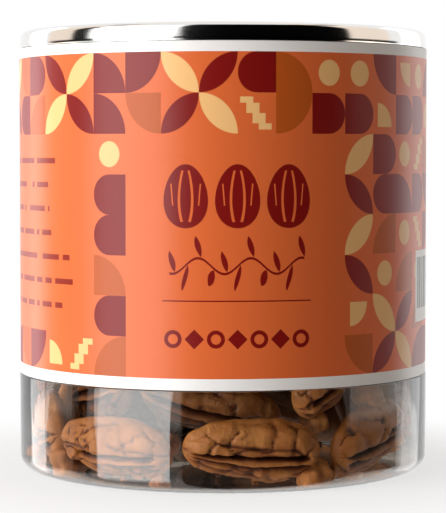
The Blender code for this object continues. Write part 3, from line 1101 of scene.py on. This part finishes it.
@dataclass
class RingPull:
    """The stamped tab: a curled edge all round, a thinner web, and the riveted tongue."""

    middle: float = 88.25
    edge: float = 0.7
    web: float = 0.3
    nose: float = 35.2
    ring_y: float = 18.5
    ring_outer: Point = (10.5, 9.5)
    ring_hole: Point = (7.2, 6.0)
    tongue_half: float = 2.8
    tongue_ends: Point = (27.6, 34.0)
    tongue_middle: float = 87.7
    slot_half: float = 3.3
    slot_ends: Point = (27.2, 34.3)
    flank: tuple[Point, ...] = ((7.55, 25.0), (6.95, 28.0), (6.3, 31.2), (5.85, 33.4))
    nose_corner: Point = (4.6, 1.15)
    voxel: float = 0.17
    rivet_y: float = 30.5
    rivet_half: float = 1.78

    @staticmethod
    def _oval(y: float, half_x: float, half_y: float, start: float, end: float,
              count: int) -> list[Point]:
        """Returns points of an oval between two angles in degrees."""
        angles = np.radians(np.linspace(start, end, count))
        return [(half_x * math.cos(a), y + half_y * math.sin(a)) for a in angles]

    @staticmethod
    def _rounded_box(half: float, low: float, high: float, corner: float) -> list[Point]:
        """Draws a rectangle with round corners, centred on X = 0.

        Args:
            half: Half its width.
            low: Its near side's Y.
            high: Its far side's Y.
            corner: Its corners' radius.

        Returns:
            Its outline.
        """
        outline: list[Point] = []
        corners = ((half - corner, low + corner, -90), (half - corner, high - corner, 0),
                   (corner - half, high - corner, 90), (corner - half, low + corner, 180))
        for x, y, start in corners:
            outline += arc((x, y), corner, start, start + 90, 7)
        return outline

    def _edges(self) -> tuple[list[Point], list[Point], list[Point]]:
        """Draws the middle lines of the curled edges.

        Returns:
            The lines round the outside, the finger hole and the tongue's slot.
        """
        e = self.edge
        ring = self._oval(self.ring_y, self.ring_outer[0] - e, self.ring_outer[1] - e,
                          -200, 20, 60)
        nose_x, nose_radius = self.nose_corner
        right = [*self.flank]
        right += arc((nose_x, self.nose - nose_radius), nose_radius, 10, 90, 7)
        outer = ring + right + [(-x, y) for x, y in reversed(right)]
        hole = self._oval(self.ring_y, self.ring_hole[0] + e, self.ring_hole[1] + e, 0, 352.5, 48)
        slot = self._rounded_box(self.slot_half + e, self.slot_ends[0] - e,
                                 self.slot_ends[1] + e, 1.2)
        return outer, hole, slot

    @staticmethod
    def _flat_curve(outlines: Sequence[Sequence[Point]], height: float, fill: bool,
                    depth: float) -> bpy.types.Object:
        """Makes a mesh from outlines: a filled plate, or round wires along them.

        Args:
            outlines: Closed outlines in millimetres, the first one outside the rest.
            height: The height of their middle plane.
            fill: True for a plate, False for wires.
            depth: Half the plate's thickness, or the wires' radius.

        Returns:
            The new object.
        """
        curve = bpy.data.curves.new("stamping", "CURVE")
        curve.dimensions = "2D" if fill else "3D"
        curve.fill_mode = "BOTH" if fill else "FULL"
        curve.bevel_resolution = 4
        setattr(curve, "extrude" if fill else "bevel_depth", depth * MM)
        for outline in outlines:
            spline = curve.splines.new("POLY")
            spline.points.add(len(outline) - 1)
            for point, (x, y) in zip(spline.points, outline):
                point.co = (x * MM, y * MM, 0.0, 1.0)
            spline.use_cyclic_u = True
        piece = bpy.data.objects.new("stamping", curve)
        bpy.context.scene.collection.objects.link(piece)
        Bench.take(piece)
        bpy.ops.object.convert(target="MESH")
        piece = bpy.context.object
        piece.location.z = height * MM
        bpy.ops.object.transform_apply(location=True)
        return piece

    def build(self, metal: RolledAluminium) -> None:
        """Builds the tab and the tongue, and dresses them.

        Args:
            metal: Their finish.
        """
        sheet = metal.make()
        edges = self._edges()
        wires = self._flat_curve(edges, self.middle, False, self.edge - 0.02)
        plate = self._flat_curve(edges, self.middle + 0.05, True, self.web)
        Bench.take(wires)
        plate.select_set(True)
        bpy.ops.object.join()
        tab = bpy.context.object
        Bench.modify(tab, "REMESH", mode="VOXEL", voxel_size=self.voxel * MM, adaptivity=0.0)
        Bench.modify(tab, "SMOOTH", factor=0.5, iterations=5)
        Bench.settle(tab, "ring_pull", 60)
        Bench.dress(tab, sheet)
        hold(tab, "tab", "tab_metal", "pull_tab")
        flap = self._rounded_box(self.tongue_half, *self.tongue_ends, 0.9)
        hole = self._oval(self.rivet_y, self.rivet_half, self.rivet_half, 0, 345, 24)
        tongue = self._flat_curve((flap, hole), self.tongue_middle, True, 0.2)
        Bench.modify(tongue, "BEVEL", width=0.07 * MM, segments=2, limit_method="ANGLE")
        Bench.settle(tongue, "riveted_tongue", 40)
        Bench.dress(tongue, sheet)
        hold(tongue, "can", "tab_metal", "tab_tongue")


# --- The label ------------------------------------------------------------------------------


@dataclass
class WrapLabel:
    """The printed strip, rolled once round the wall with its end lapped over its start."""

    radius: float = 42.38
    lap_radius: float = 42.58
    thickness: float = 0.13
    start: float = 173.8
    sweep: float = 370.0
    heights: tuple[float, ...] = (20.15, 22.4, 30.2, 31.3, 38.0, 45.8, 53.6, 61.4, 69.2, 77.0,
                                  84.8, 86.85)
    emblem: Point = (-26.2, 33.8)
    lines: Point = (-86.2, -36.2)
    stripes: Point = (66.8, 99.8)
    stripe_rows: Point = (31.3, 45.8)
    panel_top: float = 69.2
    lines_foot: float = 30.2
    ramp: Point = (16.0, 10.5)

    def _print_at(self, turn: float, height: float) -> Print:
        """Finds what is printed at a place on the label.

        Args:
            turn: Degrees round from the front.
            height: Millimetres above the base.

        Returns:
            The kind of print.
        """
        if height < self.heights[1] or height > self.heights[-2]:
            return Print.MARGIN
        if self.stripes[0] < turn < self.stripes[1]:
            if self.stripe_rows[0] < height < self.stripe_rows[1]:
                return Print.STRIPES
        if self.emblem[0] < turn < self.emblem[1] and height < self.panel_top:
            return Print.EMBLEM
        if self.lines[0] < turn < self.lines[1] and self.lines_foot < height < self.panel_top:
            return Print.LINES
        return Print.TILES

    def _roll(self, sheet: bpy.types.Object) -> None:
        """Rolls the flat sheet round the can and spaces its rows.

        Args:
            sheet: A flat grid in the XY plane, from -0.5 to 0.5 each way.
        """
        x, y, _ = (Bench.points(sheet) * MM).T
        turn = self.start + (x + 0.5) * self.sweep
        rows = np.linspace(-0.5, 0.5, len(self.heights))
        z = np.interp(y, rows, self.heights)
        end = self.start + self.sweep
        lap = eased(turn, end - self.ramp[0], end - self.ramp[1])
        radius = self.radius + (self.lap_radius - self.radius) * lap
        angle = np.radians(turn)
        Bench.press(sheet, np.stack((radius * np.sin(angle), -radius * np.cos(angle), z), axis=1))

    def build(self, film: LabelFilm) -> None:
        """Builds the label and dresses it.

        Args:
            film: Its finish.
        """
        Bench.clear_hand()
        bpy.ops.mesh.primitive_grid_add(x_subdivisions=int(self.sweep),
                                        y_subdivisions=len(self.heights) - 1, size=1.0)
        label = bpy.context.object
        self._roll(label)
        kinds = list(Print)
        Bench.dress(label, *(film.make(kind) for kind in kinds))
        for face in label.data.polygons:
            turn = math.degrees(math.atan2(face.center.x, -face.center.y))
            face.material_index = kinds.index(self._print_at(turn, face.center.z / MM))
        self._face_out(label)
        backing = kinds.index(Print.BACKING)
        Bench.modify(label, "SOLIDIFY", thickness=self.thickness * MM, offset=-1.0,
                     material_offset=backing, material_offset_rim=backing)
        Bench.settle(label, "wrap_label", 35)
        hold(label, "can", "label_paper", "label")

    @staticmethod
    def _face_out(label: bpy.types.Object) -> None:
        """Turns the sheet's faces away from the can.

        Args:
            label: The rolled sheet.
        """
        face = label.data.polygons[0]
        if face.normal.x * face.center.x + face.normal.y * face.center.y < 0:
            Bench.take(label)
            bpy.ops.object.mode_set(mode="EDIT")
            bpy.ops.mesh.select_all(action="SELECT")
            bpy.ops.mesh.flip_normals()
            Bench.clear_hand()


# --- The pecan halves -----------------------------------------------------------------------


@dataclass(frozen=True)
class KernelPose:
    """Where a kernel lies: its frame and its size along, across and through, in millimetres."""

    turn: np.ndarray
    origin: np.ndarray
    half_length: float
    half_width: float
    back: float
    belly: float


@dataclass
class PecanHeap:
    """The heap of halves. Each is carved from the same blank, with its own seed.

    Attributes:
        fine: Faces round and along a kernel that shows.
        coarse: The same for one that is hidden.
        shown_below: A kernel shows when its middle is lower than this, in millimetres,
        shown_beyond: and further than this from the can's axis.
        bluntness: How square a kernel's outline is.
        taper: How much narrower the pointed end is than the blunt one.
        ridge_share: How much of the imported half's height the ridge takes.
        plump: A kernel's width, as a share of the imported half's.
        groove_shift: How far the grooves lie off the middle of a kernel that lies on its side.
        groove_side: Where a groove lies, as a share of the half width.
        settle: How far the heap has settled, in millimetres.
        seed: What the kernels' seeds count up from.
        bit_seed: The seed of the broken bits.
        wall: The farthest that a bit reaches from the can's axis, in millimetres.
        floor: The lowest that a bit reaches, in millimetres.
        bits: Bearing in degrees, distance, height and size in millimetres of the larger bits.
    """

    fine: tuple[int, int] = (150, 80)
    coarse: tuple[int, int] = (64, 36)
    shown_below: float = 25.0
    shown_beyond: float = 19.0
    bluntness: float = 2.4
    taper: float = 0.12
    ridge_share: float = 0.97
    belly_to_back: float = 2.8 / 4.8
    plump: float = 0.99
    groove_shift: float = 0.26
    groove_side: float = 0.2
    groove_depth: float = 1.25
    groove_width: float = 0.5
    shoulder_depth: float = 0.95
    fold_depth: float = 0.55
    crack_depth: float = 0.35
    channel_depth: float = 1.25
    settle: float = 0.75
    seed: int = 1000
    bit_seed: int = 5
    wall: float = 41.6
    floor: float = 0.6
    bits: tuple[tuple[float, float, float, float], ...] = (
        (-51.0, 37.6, 5.0, 1.9), (-58.0, 36.2, 1.7, 3.1), (-18.5, 38.2, 1.0, 1.7),
        (29.0, 36.8, 1.0, 2.7), (34.0, 35.0, 1.0, 2.4), (-84.0, 38.0, 2.2, 2.6),
        (-88.0, 38.2, 8.0, 2.9), (-86.0, 38.4, 14.5, 2.7), (88.0, 38.2, 13.0, 2.7),
        (54.0, 36.0, 14.6, 3.3), (-18.0, 33.5, 7.4, 2.8), (33.0, 33.0, 11.0, 2.9),
    )

    def read_pose(self, node: bpy.types.Object) -> KernelPose:
        """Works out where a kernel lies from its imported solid.

        Args:
            node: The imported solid, whose place is in its mesh.

        Returns:
            The pose, with X towards the pointed end and Z towards the ridged back.
        """
        points = Bench.points(node)
        unique = np.unique(np.round(points, 4), axis=0)
        _, _, axes = np.linalg.svd(unique - unique.mean(axis=0))
        reach = unique @ axes[0]
        tips = unique[reach.argmax()], unique[reach.argmin()]
        origin = (tips[0] + tips[1]) / 2
        x_axis = tips[0] - tips[1]
        half_length = np.linalg.norm(x_axis) / 2
        x_axis /= 2 * half_length
        y_axis = axes[1] - x_axis * (axes[1] @ x_axis)
        y_axis /= np.linalg.norm(y_axis)
        local = unique - origin
        u, v = local @ x_axis, local @ y_axis
        wide = np.abs(v)
        if wide[u > half_length * 0.3].max() > wide[u < -half_length * 0.3].max():
            x_axis = -x_axis
        z_axis = np.cross(x_axis, y_axis)
        w = local @ z_axis
        if w.max() < -w.min():
            z_axis, y_axis, w = -z_axis, -y_axis, -w
        back = w.max() / self.ridge_share
        widest = wide.max() / (1.0 + self.taper * 0.2)
        return KernelPose(np.stack((x_axis, y_axis, z_axis)), origin, half_length, widest, back,
                          back * self.belly_to_back)

    @staticmethod
    def _blank(segments: int, rings: int) -> bpy.types.Object:
        """Makes a blank that kernels are carved from: a ball with its poles along X.

        Args:
            segments: Its faces round X.
            rings: Its faces along X.

        Returns:
            The blank.
        """
        Bench.clear_hand()
        bpy.ops.mesh.primitive_uv_sphere_add(segments=segments, ring_count=rings,
                                             radius=1.0, rotation=(0.0, math.pi / 2, 0.0))
        bpy.ops.object.transform_apply(rotation=True)
        return bpy.context.object

    def _crowd(self, angle: np.ndarray, shift: float) -> np.ndarray:
        """Crowds the points round a kernel towards its grooves.

        Args:
            angle: Evenly spread angles, in degrees.
            shift: How far the grooves lie off the middle, as a share of the half width.

        Returns:
            The crowded angles, in degrees.
        """
        grid = np.linspace(0.0, 360.0, 1441)
        density = np.ones_like(grid)
        left = math.degrees(math.acos(self.groove_side - shift))
        right = math.degrees(math.acos(-self.groove_side - shift))
        for centre, spread, weight in ((left, 8, 2.6), (right, 8, 2.6), (270, 22, 0.6)):
            density += weight * hump(grid - centre, spread)
        total = np.concatenate(([0.0], np.cumsum((density[1:] + density[:-1]) / 2)))
        return np.interp(angle, total / total[-1] * 360.0, grid)

    @staticmethod
    def _noise(place: np.ndarray, pitch: float) -> np.ndarray:
        """Returns smooth noise from about -1 to 1, whose swells are about pitch apart."""
        return np.array([noise.noise(p) for p in (place / pitch).tolist()])

    @staticmethod
    def _borders(place: np.ndarray, pitch: float) -> np.ndarray:
        """Returns how far each point lies from a border between cells about pitch apart."""
        near = np.array([noise.voronoi(p)[0][:2] for p in (place / pitch).tolist()])
        return (near[:, 1] - near[:, 0]) * pitch

    def _carve(self, blank: np.ndarray, pose: KernelPose,
               dice: np.random.Generator) -> tuple[np.ndarray, np.ndarray]:
        """Carves the blank into one kernel in its own frame.

        Two grooves run down the back beside a narrow ridge. They run out at the pointed end and
        sink into pits at the blunt end. The lobes beside them are folded along and cracked
        across, and a channel runs down the belly.

        Args:
            blank: The ball's points.
            pose: The kernel's size.
            dice: The kernel's random numbers.

        Returns:
            The points in millimetres, and how deep in a crevice each one lies, from 0 to 1.
        """
        u = np.clip(blank[:, 0], -1.0, 1.0)
        u = np.sign(u) * np.abs(u) ** 0.85
        shift = self.groove_shift * pose.turn[1][2]
        angle = np.degrees(np.arctan2(blank[:, 2], blank[:, 1])) % 360.0
        angle = np.radians(self._crowd(angle, shift))
        share = np.clip(1.0 - np.abs(u) ** self.bluntness, 0.0, 1.0) ** (1.0 / self.bluntness)
        share *= 1.0 - self.taper * u
        v, up = np.cos(angle), np.sin(angle)
        mid = v + shift
        x = u * pose.half_length
        y = share * pose.half_width * v * self.plump
        z = share * np.where(up > 0, pose.back, pose.belly) * up
        spot = np.stack((x, y, z), axis=1) + dice.uniform(0.0, 500.0, 3)
        line = np.stack((x, np.sign(mid) * 20.0, x * 0), axis=1) + dice.uniform(0.0, 500.0, 3)
        bulge, lump, grain = (self._noise(spot, pitch) for pitch in (5.5, 2.4, 1.1))

        # The grooves, their rounded shoulders, the pits at the blunt end and the notched tips.
        top, belly = eased(up, -0.05, 0.3), eased(-up, 0.05, 0.35)
        drift, slack = self._noise(line, 6.0), self._noise(line + 50.0, 3.0)
        side = self.groove_side * (1.0 - 0.45 * eased(u, 0.0, 0.95)) + 0.05 * drift
        off = (np.abs(mid) - side) * pose.half_width + 0.25 * grain
        run = (1.0 - eased(u, 0.72, 0.98)) * eased(u, -0.92, -0.72) * top
        groove = hump(off, self.groove_width * (1.0 + 0.4 * slack), 1.5) * run
        groove *= 0.9 + 0.25 * slack
        shoulder = hump(off, 1.35, 1.6) * run
        pit = hump(u + 0.70, 0.10) * hump(off, 0.8) * top
        tips = eased(u, 0.82, 1.0) + eased(-u, 0.86, 1.0)
        notch = hump(v * pose.half_width, 0.6) * tips * top
        channel = hump(v * pose.half_width, 1.5) * belly * (1.0 - np.abs(u) ** 3)

        # The lobes beside them, folded along and cracked across.
        lobe = eased(np.abs(mid), side - 0.12, side) * top
        fold_at = 0.58 + 0.22 * self._noise(line + 130.0, 10.0) - 0.2 * np.abs(u) ** 3
        fold_off = (np.abs(mid) - fold_at) * pose.half_width + 0.12 * grain
        broken = eased(self._noise(line + 90.0, 9.0), -0.35, 0.0) * lobe
        fold, roll = hump(fold_off, 0.36, 1.2) * broken, hump(fold_off, 1.3, 1.8) * broken
        bent = spot + np.stack((lump, grain, bulge), axis=1) * 1.1
        border = self._borders(bent * (1.0, 0.8, 0.8), 5.0)
        lobe *= 1.0 - eased(np.abs(u), 0.9, 1.0)
        valley = hump(border, 0.85, 1.3) * lobe
        crack = hump(border, 0.22, 1.0) * lobe * eased(self._noise(spot + 40.0, 4.5), -0.35, 0.05)

        depth = (groove * self.groove_depth + shoulder * self.shoulder_depth + pit
                 + notch * 0.7 + fold * self.fold_depth + roll * 0.45 + valley * 0.42
                 + crack * self.crack_depth + channel * self.channel_depth
                 - bulge * 0.50 - lump * 0.26 - grain * 0.06 - 0.12)
        cut = depth * np.minimum(share * 1.6, 1.0) / np.maximum(np.hypot(y, z), 0.3)
        kept = np.clip(1.0 - cut, 0.2, 1.15)
        bow = 0.35 * dice.uniform(-1.0, 1.0) * (u * u - 0.4)
        twist = dice.uniform(-0.10, 0.10) * u
        y, z = y * kept + bow, z * kept
        y, z = y * np.cos(twist) - z * np.sin(twist), y * np.sin(twist) + z * np.cos(twist)
        # How deep in a crevice each point lies, which the skin darkens as painted shade.
        crevice = np.clip(groove * 1.05 + shoulder * 0.22 + pit + notch * 0.5 + fold * 0.55
                          + crack * 0.6 + valley * 0.22 + roll * 0.1 + channel * 0.55
                          - lump * 0.15, 0.0, 1.0)
        return np.stack((x, y, z), axis=1), crevice

    def build(self, skin: PecanSkin, frame: dict) -> None:
        """Carves a kernel in the place of every packed half, and dresses them.

        Args:
            skin: Their finish.
            frame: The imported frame.
        """
        material = skin.make()
        blanks = self._blank(*self.coarse), self._blank(*self.fine)
        balls = [Bench.points(blank) * MM for blank in blanks]
        names = sorted(n for n in frame["nodes"] if n.startswith("pecan_half_"))
        for number, name in enumerate(names, start=1):
            pose = self.read_pose(frame["nodes"][name])
            dice = np.random.default_rng(self.seed + number)
            shown = (pose.origin[2] < self.shown_below
                     and math.hypot(*pose.origin[:2]) > self.shown_beyond)
            local, crevice = self._carve(balls[shown], pose, dice)
            Bench.take(blanks[shown])
            bpy.ops.object.duplicate(linked=False)
            kernel = bpy.context.object
            Bench.press(kernel, local @ pose.turn + pose.origin - (0.0, 0.0, self.settle))
            self._label_points(kernel, local, crevice, dice)
            Bench.settle(kernel, f"kernel_{number:02d}", 180)
            Bench.dress(kernel, material)
            hold(kernel, "can", "pecan_kernel", name)
        for blank in blanks:
            bpy.data.objects.remove(blank)
        self._scatter(material)

    def _scatter(self, material: bpy.types.Material) -> None:
        """Lays broken bits of kernel between the halves at the foot of the heap.

        Args:
            material: Their material.
        """
        Bench.clear_hand()
        bpy.ops.mesh.primitive_ico_sphere_add(subdivisions=4, radius=1.0)
        pebble = bpy.context.object
        dice = np.random.default_rng(self.bit_seed)
        bits = list(self.bits)
        for bearing in range(8, 360, 15):
            bits.append((bearing + dice.uniform(-6.0, 6.0), dice.uniform(22.0, 33.0),
                         dice.uniform(0.8, 1.4), dice.uniform(0.6, 1.4)))
        pieces = [self._break_off(pebble, bit, dice) for bit in bits]
        Bench.take(pieces[0])
        for bit in pieces:
            bit.select_set(True)
        bpy.ops.object.join()
        crumbs = Bench.settle(bpy.context.object, "kernel_bits", 180)
        Bench.dress(crumbs, material)
        hold(crumbs, "can", "pecan_kernel")
        bpy.data.objects.remove(pebble)

    def _break_off(self, pebble: bpy.types.Object, bit: tuple[float, float, float, float],
                   dice: np.random.Generator) -> bpy.types.Object:
        """Makes one rough bit of kernel from a copy of the pebble.

        Args:
            pebble: A ball of radius 1 metre.
            bit: The bit's bearing in degrees, and its distance, height and size in millimetres.
            dice: The bits' random numbers.

        Returns:
            The bit, kept inside the can's wall and above its floor.
        """
        bearing, radius, height, size = bit
        ball = Bench.points(pebble) * MM
        spot = ball * size * dice.uniform(0.75, 1.3, 3) + dice.uniform(0.0, 400.0, 3)
        swell = self._noise(spot, size * 1.1) * 0.42 + self._noise(spot, size * 0.4) * 0.16
        local = ball * size * dice.uniform(0.7, 1.25, 3) * (1.0 + swell)[:, None]
        turn = math.radians(bearing)
        placed = local + (radius * math.sin(turn), -radius * math.cos(turn), height + size * 0.4)
        reach = np.hypot(placed[:, 0], placed[:, 1])
        placed[:, :2] *= np.minimum(1.0, self.wall / reach)[:, None]
        placed[:, 2] = np.maximum(placed[:, 2], self.floor)
        Bench.take(pebble)
        bpy.ops.object.duplicate(linked=False)
        piece = bpy.context.object
        Bench.press(piece, placed)
        # The bit's hollows go into the crevice mask, which the skin darkens as painted shade.
        self._label_points(piece, local, np.clip(0.3 - swell, 0.0, 1.0), dice)
        return piece

    def _label_points(self, piece: bpy.types.Object, local: np.ndarray, crevice: np.ndarray,
                      dice: np.random.Generator) -> None:
        """Stores what the skin's material reads on each point.

        Args:
            piece: A kernel or a bit of one.
            local: Its points in its own frame, in millimetres.
            crevice: How deep in a crevice each point lies, which the skin darkens as painted shade.
            dice: Its random numbers.
        """
        self._write(piece, "crevice", crevice)
        self._write(piece, "tone", np.full(len(crevice), dice.random()))
        place = piece.data.attributes.new("skin_place", "FLOAT_VECTOR", "POINT")
        shifted = local + dice.uniform(0.0, 400.0, 3)
        place.data.foreach_set("vector", shifted.astype(np.float32).ravel())

    @staticmethod
    def _write(piece: bpy.types.Object, name: str, values: np.ndarray) -> None:
        """Stores one number for each point of a piece."""
        attribute = piece.data.attributes.new(name, "FLOAT", "POINT")
        attribute.data.foreach_set("value", values.astype(np.float32))


# --- The studio -----------------------------------------------------------------------------


@dataclass(frozen=True)
class Softbox:
    """A rectangular light that faces the can.

    Attributes:
        name: Its name.
        bearing: Degrees round from the front, positive towards +X.
        height: Its centre's height, in metres.
        distance: From the can's axis, in metres.
        width: In metres.
        tall: Its height, in metres.
        power: In watts.
        shows: Whether shiny things mirror it.
    """

    name: str
    bearing: float
    height: float
    distance: float
    width: float
    tall: float
    power: float
    shows: bool = True

    def set_up(self, target: Vector) -> None:
        """Places the light.

        Args:
            target: What it faces.
        """
        data = bpy.data.lights.new(self.name, "AREA")
        data.shape = "RECTANGLE"
        data.size, data.size_y = self.width, self.tall
        data.energy = self.power
        light = bpy.data.objects.new(self.name, data)
        light.visible_glossy = light.visible_transmission = self.shows
        bpy.context.scene.collection.objects.link(light)
        angle = math.radians(self.bearing)
        light.location = (math.sin(angle) * self.distance, -math.cos(angle) * self.distance,
                          self.height)
        light.rotation_euler = (target - light.location).to_track_quat("-Z", "Y").to_euler()


@dataclass
class Studio:
    """The camera, the lights, the pale surround and the floor.

    Attributes:
        camera_distance: From the can's axis to the camera, in metres.
        camera_height: The camera's height, in metres.
        pitch: How far the camera looks down, in degrees.
        lens: Its focal length, in millimetres.
        aim: The height that the lights face, in metres.
        surround: The surround's brightness for gloss.
        black: How bright a black flag is.
        underglow: What the pale table below the can adds for gloss.
        sky: How much brighter the surround is above, for matt surfaces.
        ground: Its brightness for them on the level.
        warm: The colour of its warm parts.
        front_flag: The bearings of the black flag in front of the can, in degrees.
        left_flag: The bearings of the narrow one at its left.
        boxes: The soft boxes.
    """

    camera_distance: float = 0.449
    camera_height: float = 0.0656
    pitch: float = 2.78
    lens: float = 150.2
    aim: float = 0.05
    surround: float = 1.0
    black: float = 0.001
    underglow: float = 2.7
    sky: float = 0.27
    ground: float = 0.05
    warm: Colour = (1.0, 0.86, 0.74)
    front_flag: Point = (-23.0, 74.0)
    left_flag: Point = (-92.0, -81.0)
    boxes: tuple[Softbox, ...] = (
        Softbox("key", -50.5, 0.12, 0.62, 0.53, 1.04, 5.8),
        Softbox("left_fill", -72.0, 0.12, 0.80, 0.50, 0.80, 3.0, False),
        Softbox("left_kick", -124.0, 0.10, 0.60, 0.20, 0.80, 1.0),
        Softbox("right_kick", 129.0, 0.10, 0.60, 0.28, 0.80, 0.6),
    )

    def _camera(self) -> None:
        """Sets up the camera at the can's front, a little above its middle."""
        data = bpy.data.cameras.new("camera")
        data.lens, data.sensor_width, data.clip_start = self.lens, 36.0, 0.01
        camera = bpy.data.objects.new("camera", data)
        bpy.context.scene.collection.objects.link(camera)
        camera.location = (0.0, -self.camera_distance, self.camera_height)
        camera.rotation_euler = (math.radians(90.0 - self.pitch), 0.0, 0.0)
        bpy.context.scene.camera = camera

    def _flags(self, tree: Tree, turn: Wire, z: Wire) -> Wire:
        """Hangs the black flags that the seam and the plastic mirror.

        Args:
            tree: The surround's tree.
            turn: A direction's bearing, in degrees.
            z: Its height, from -1 to 1.

        Returns:
            1 where a flag hangs.
        """
        front = self._between(tree, turn, self.front_flag) * (1.0 - tree.ease(z, 0.86, 0.90))
        left = self._between(tree, turn, self.left_flag) * (1.0 - tree.ease(z, 0.62, 0.66))
        sides = tree.most(self._between(tree, turn, (-110.0, -70.0)),
                          self._between(tree, turn, (78.0, 112.0)))
        return tree.most(front, left, sides * tree.band(z, (0.80, 0.82), (0.86, 0.88)))

    @staticmethod
    def _between(tree: Tree, turn: Wire, ends: Point, soft: float = 1.0) -> Wire:
        """Returns 1 for directions between two bearings, with ends this many degrees soft."""
        low, high = ends
        return tree.band(turn, (low - soft, low), (high, high + soft))

    def _surround(self) -> None:
        """Sets the surround: white, with black flags for gloss and a soft sky for matt things."""
        world = bpy.data.worlds.new("surround")
        bpy.context.scene.world = world
        tree = Tree(world)
        x, y, z = tree.split(tree.wire("ShaderNodeTexCoord", output="Generated"))
        turn = tree.turn(x, y)
        path = tree.make("ShaderNodeLightPath")
        soft, seen, through = (Wire(tree, path.outputs[f"Is {kind} Ray"])
                               for kind in ("Diffuse", "Camera", "Transmission"))

        # Dark parts: behind the can, seen in it and through it, and low down in front.
        back = tree.ease(y, 0.985, 0.992) * (1.0 - tree.ease(z, -0.12, -0.09)) * (1.0 - through)
        behind = tree.ease(y, 0.45, 0.70) * (1.0 - tree.ease(z, 0.1, 0.2)) * through
        front = (1.0 - through) * (1.0 - tree.ease(y, 0.30, 0.45))
        low = tree.band(z, (-0.24, -0.18), (-0.06, 0.0))
        low = low * tree.most(front, self._between(tree, turn, (60.0, 112.0), 3.0))
        level = self.surround - self._flags(tree, turn, z) * (self.surround - self.black)
        level = level * (1.0 - low * 0.97)

        # The glow from below, and what a straight look, matt things and clear things get.
        under = (1.0 - tree.ease(z, -0.4, -0.15)) * tree.ease(y, -0.3, 0.1) * (1.0 - through)
        under = under * (1.0 - tree.ease(y, 0.1, 0.95) * 0.85) * self.underglow
        level = (level + under) * (1.0 - behind * 0.97) * (1.0 - back * 0.98)
        level = level * (1.0 - through * 0.5)
        level = level + soft * (tree.ease(z, -0.5, 0.7) * self.sky + self.ground - level)
        level = level + seen * (1.0 - level)

        warm = tree.most(self._between(tree, turn, (-112.0, -93.0), 4.0),
                         self._between(tree, turn, (75.0, 104.0), 4.0), through, soft)
        colour = tree.mix(warm * (1.0 - seen), (1.0, 1.0, 1.0), self.warm)
        background = tree.make("ShaderNodeBackground", {}, {"Color": colour, "Strength": level})
        tree.make("ShaderNodeOutputWorld", {}, {"Surface": Wire(tree, background.outputs[0])})

    @staticmethod
    def _floor() -> None:
        """Lays a plain pale floor, which only the camera sees, so it tints nothing."""
        Bench.clear_hand()
        bpy.ops.mesh.primitive_plane_add(size=6.0, location=(0.0, 0.0, -0.2 * MM))
        floor = bpy.context.object
        floor.name = "floor"
        finish = Finish("floor_paint", (0.85, 0.85, 0.845), 0.8)
        material, tree = finish.start()
        x, y, _ = tree.split(tree.place())
        far = tree.ease(tree.math("SQRT", x * x + y * y), 44.0, 100.0) * 0.3 + 0.7
        glow = tree.make("ShaderNodeEmission", {}, {"Color": (1.0, 1.0, 1.0)})
        clear = tree.make("ShaderNodeBsdfTransparent")
        seen = tree.wire("ShaderNodeLightPath", output="Is Camera Ray")
        paint = tree.shaders(far, finish.shader(tree, {}), glow)
        finish.close(tree, tree.shaders(seen, clear, paint))
        Bench.dress(floor, material)

    def build(self) -> None:
        """Sets up the whole studio."""
        self._camera()
        self._surround()
        self._floor()
        for box in self.boxes:
            box.set_up(Vector((0.0, 0.0, self.aim)))
        bpy.context.scene.view_settings.view_transform = "Standard"


def main() -> None:
    """Builds the can, then the studio round it."""
    logging.basicConfig(level=logging.INFO, format="%(name)s: %(message)s")
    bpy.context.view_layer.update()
    metal = RolledAluminium("end_metal", (0.90, 0.885, 0.865), 0.05, 1.0, 0.0)
    tab = RolledAluminium("tab_metal", (0.86, 0.86, 0.85), 0.16, 1.0, 0.0)
    ClearCan().build(ClearPlastic("clear_plastic", (0.98, 0.98, 0.97), 0.0))
    SeamedEnd().build(metal, SealCompound("sealing_compound", (0.72, 0.70, 0.64), 0.55), FRAME)
    RingPull().build(tab)
    WrapLabel().build(LabelFilm("label_film", (0.8, 0.8, 0.8), 0.24, 0.0, 0.0))
    PecanHeap().build(PecanSkin("pecan_skin", (0.37, 0.122, 0.027), 0.36), FRAME)
    Studio().build()


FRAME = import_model()

if __name__ == "__main__":
    main()
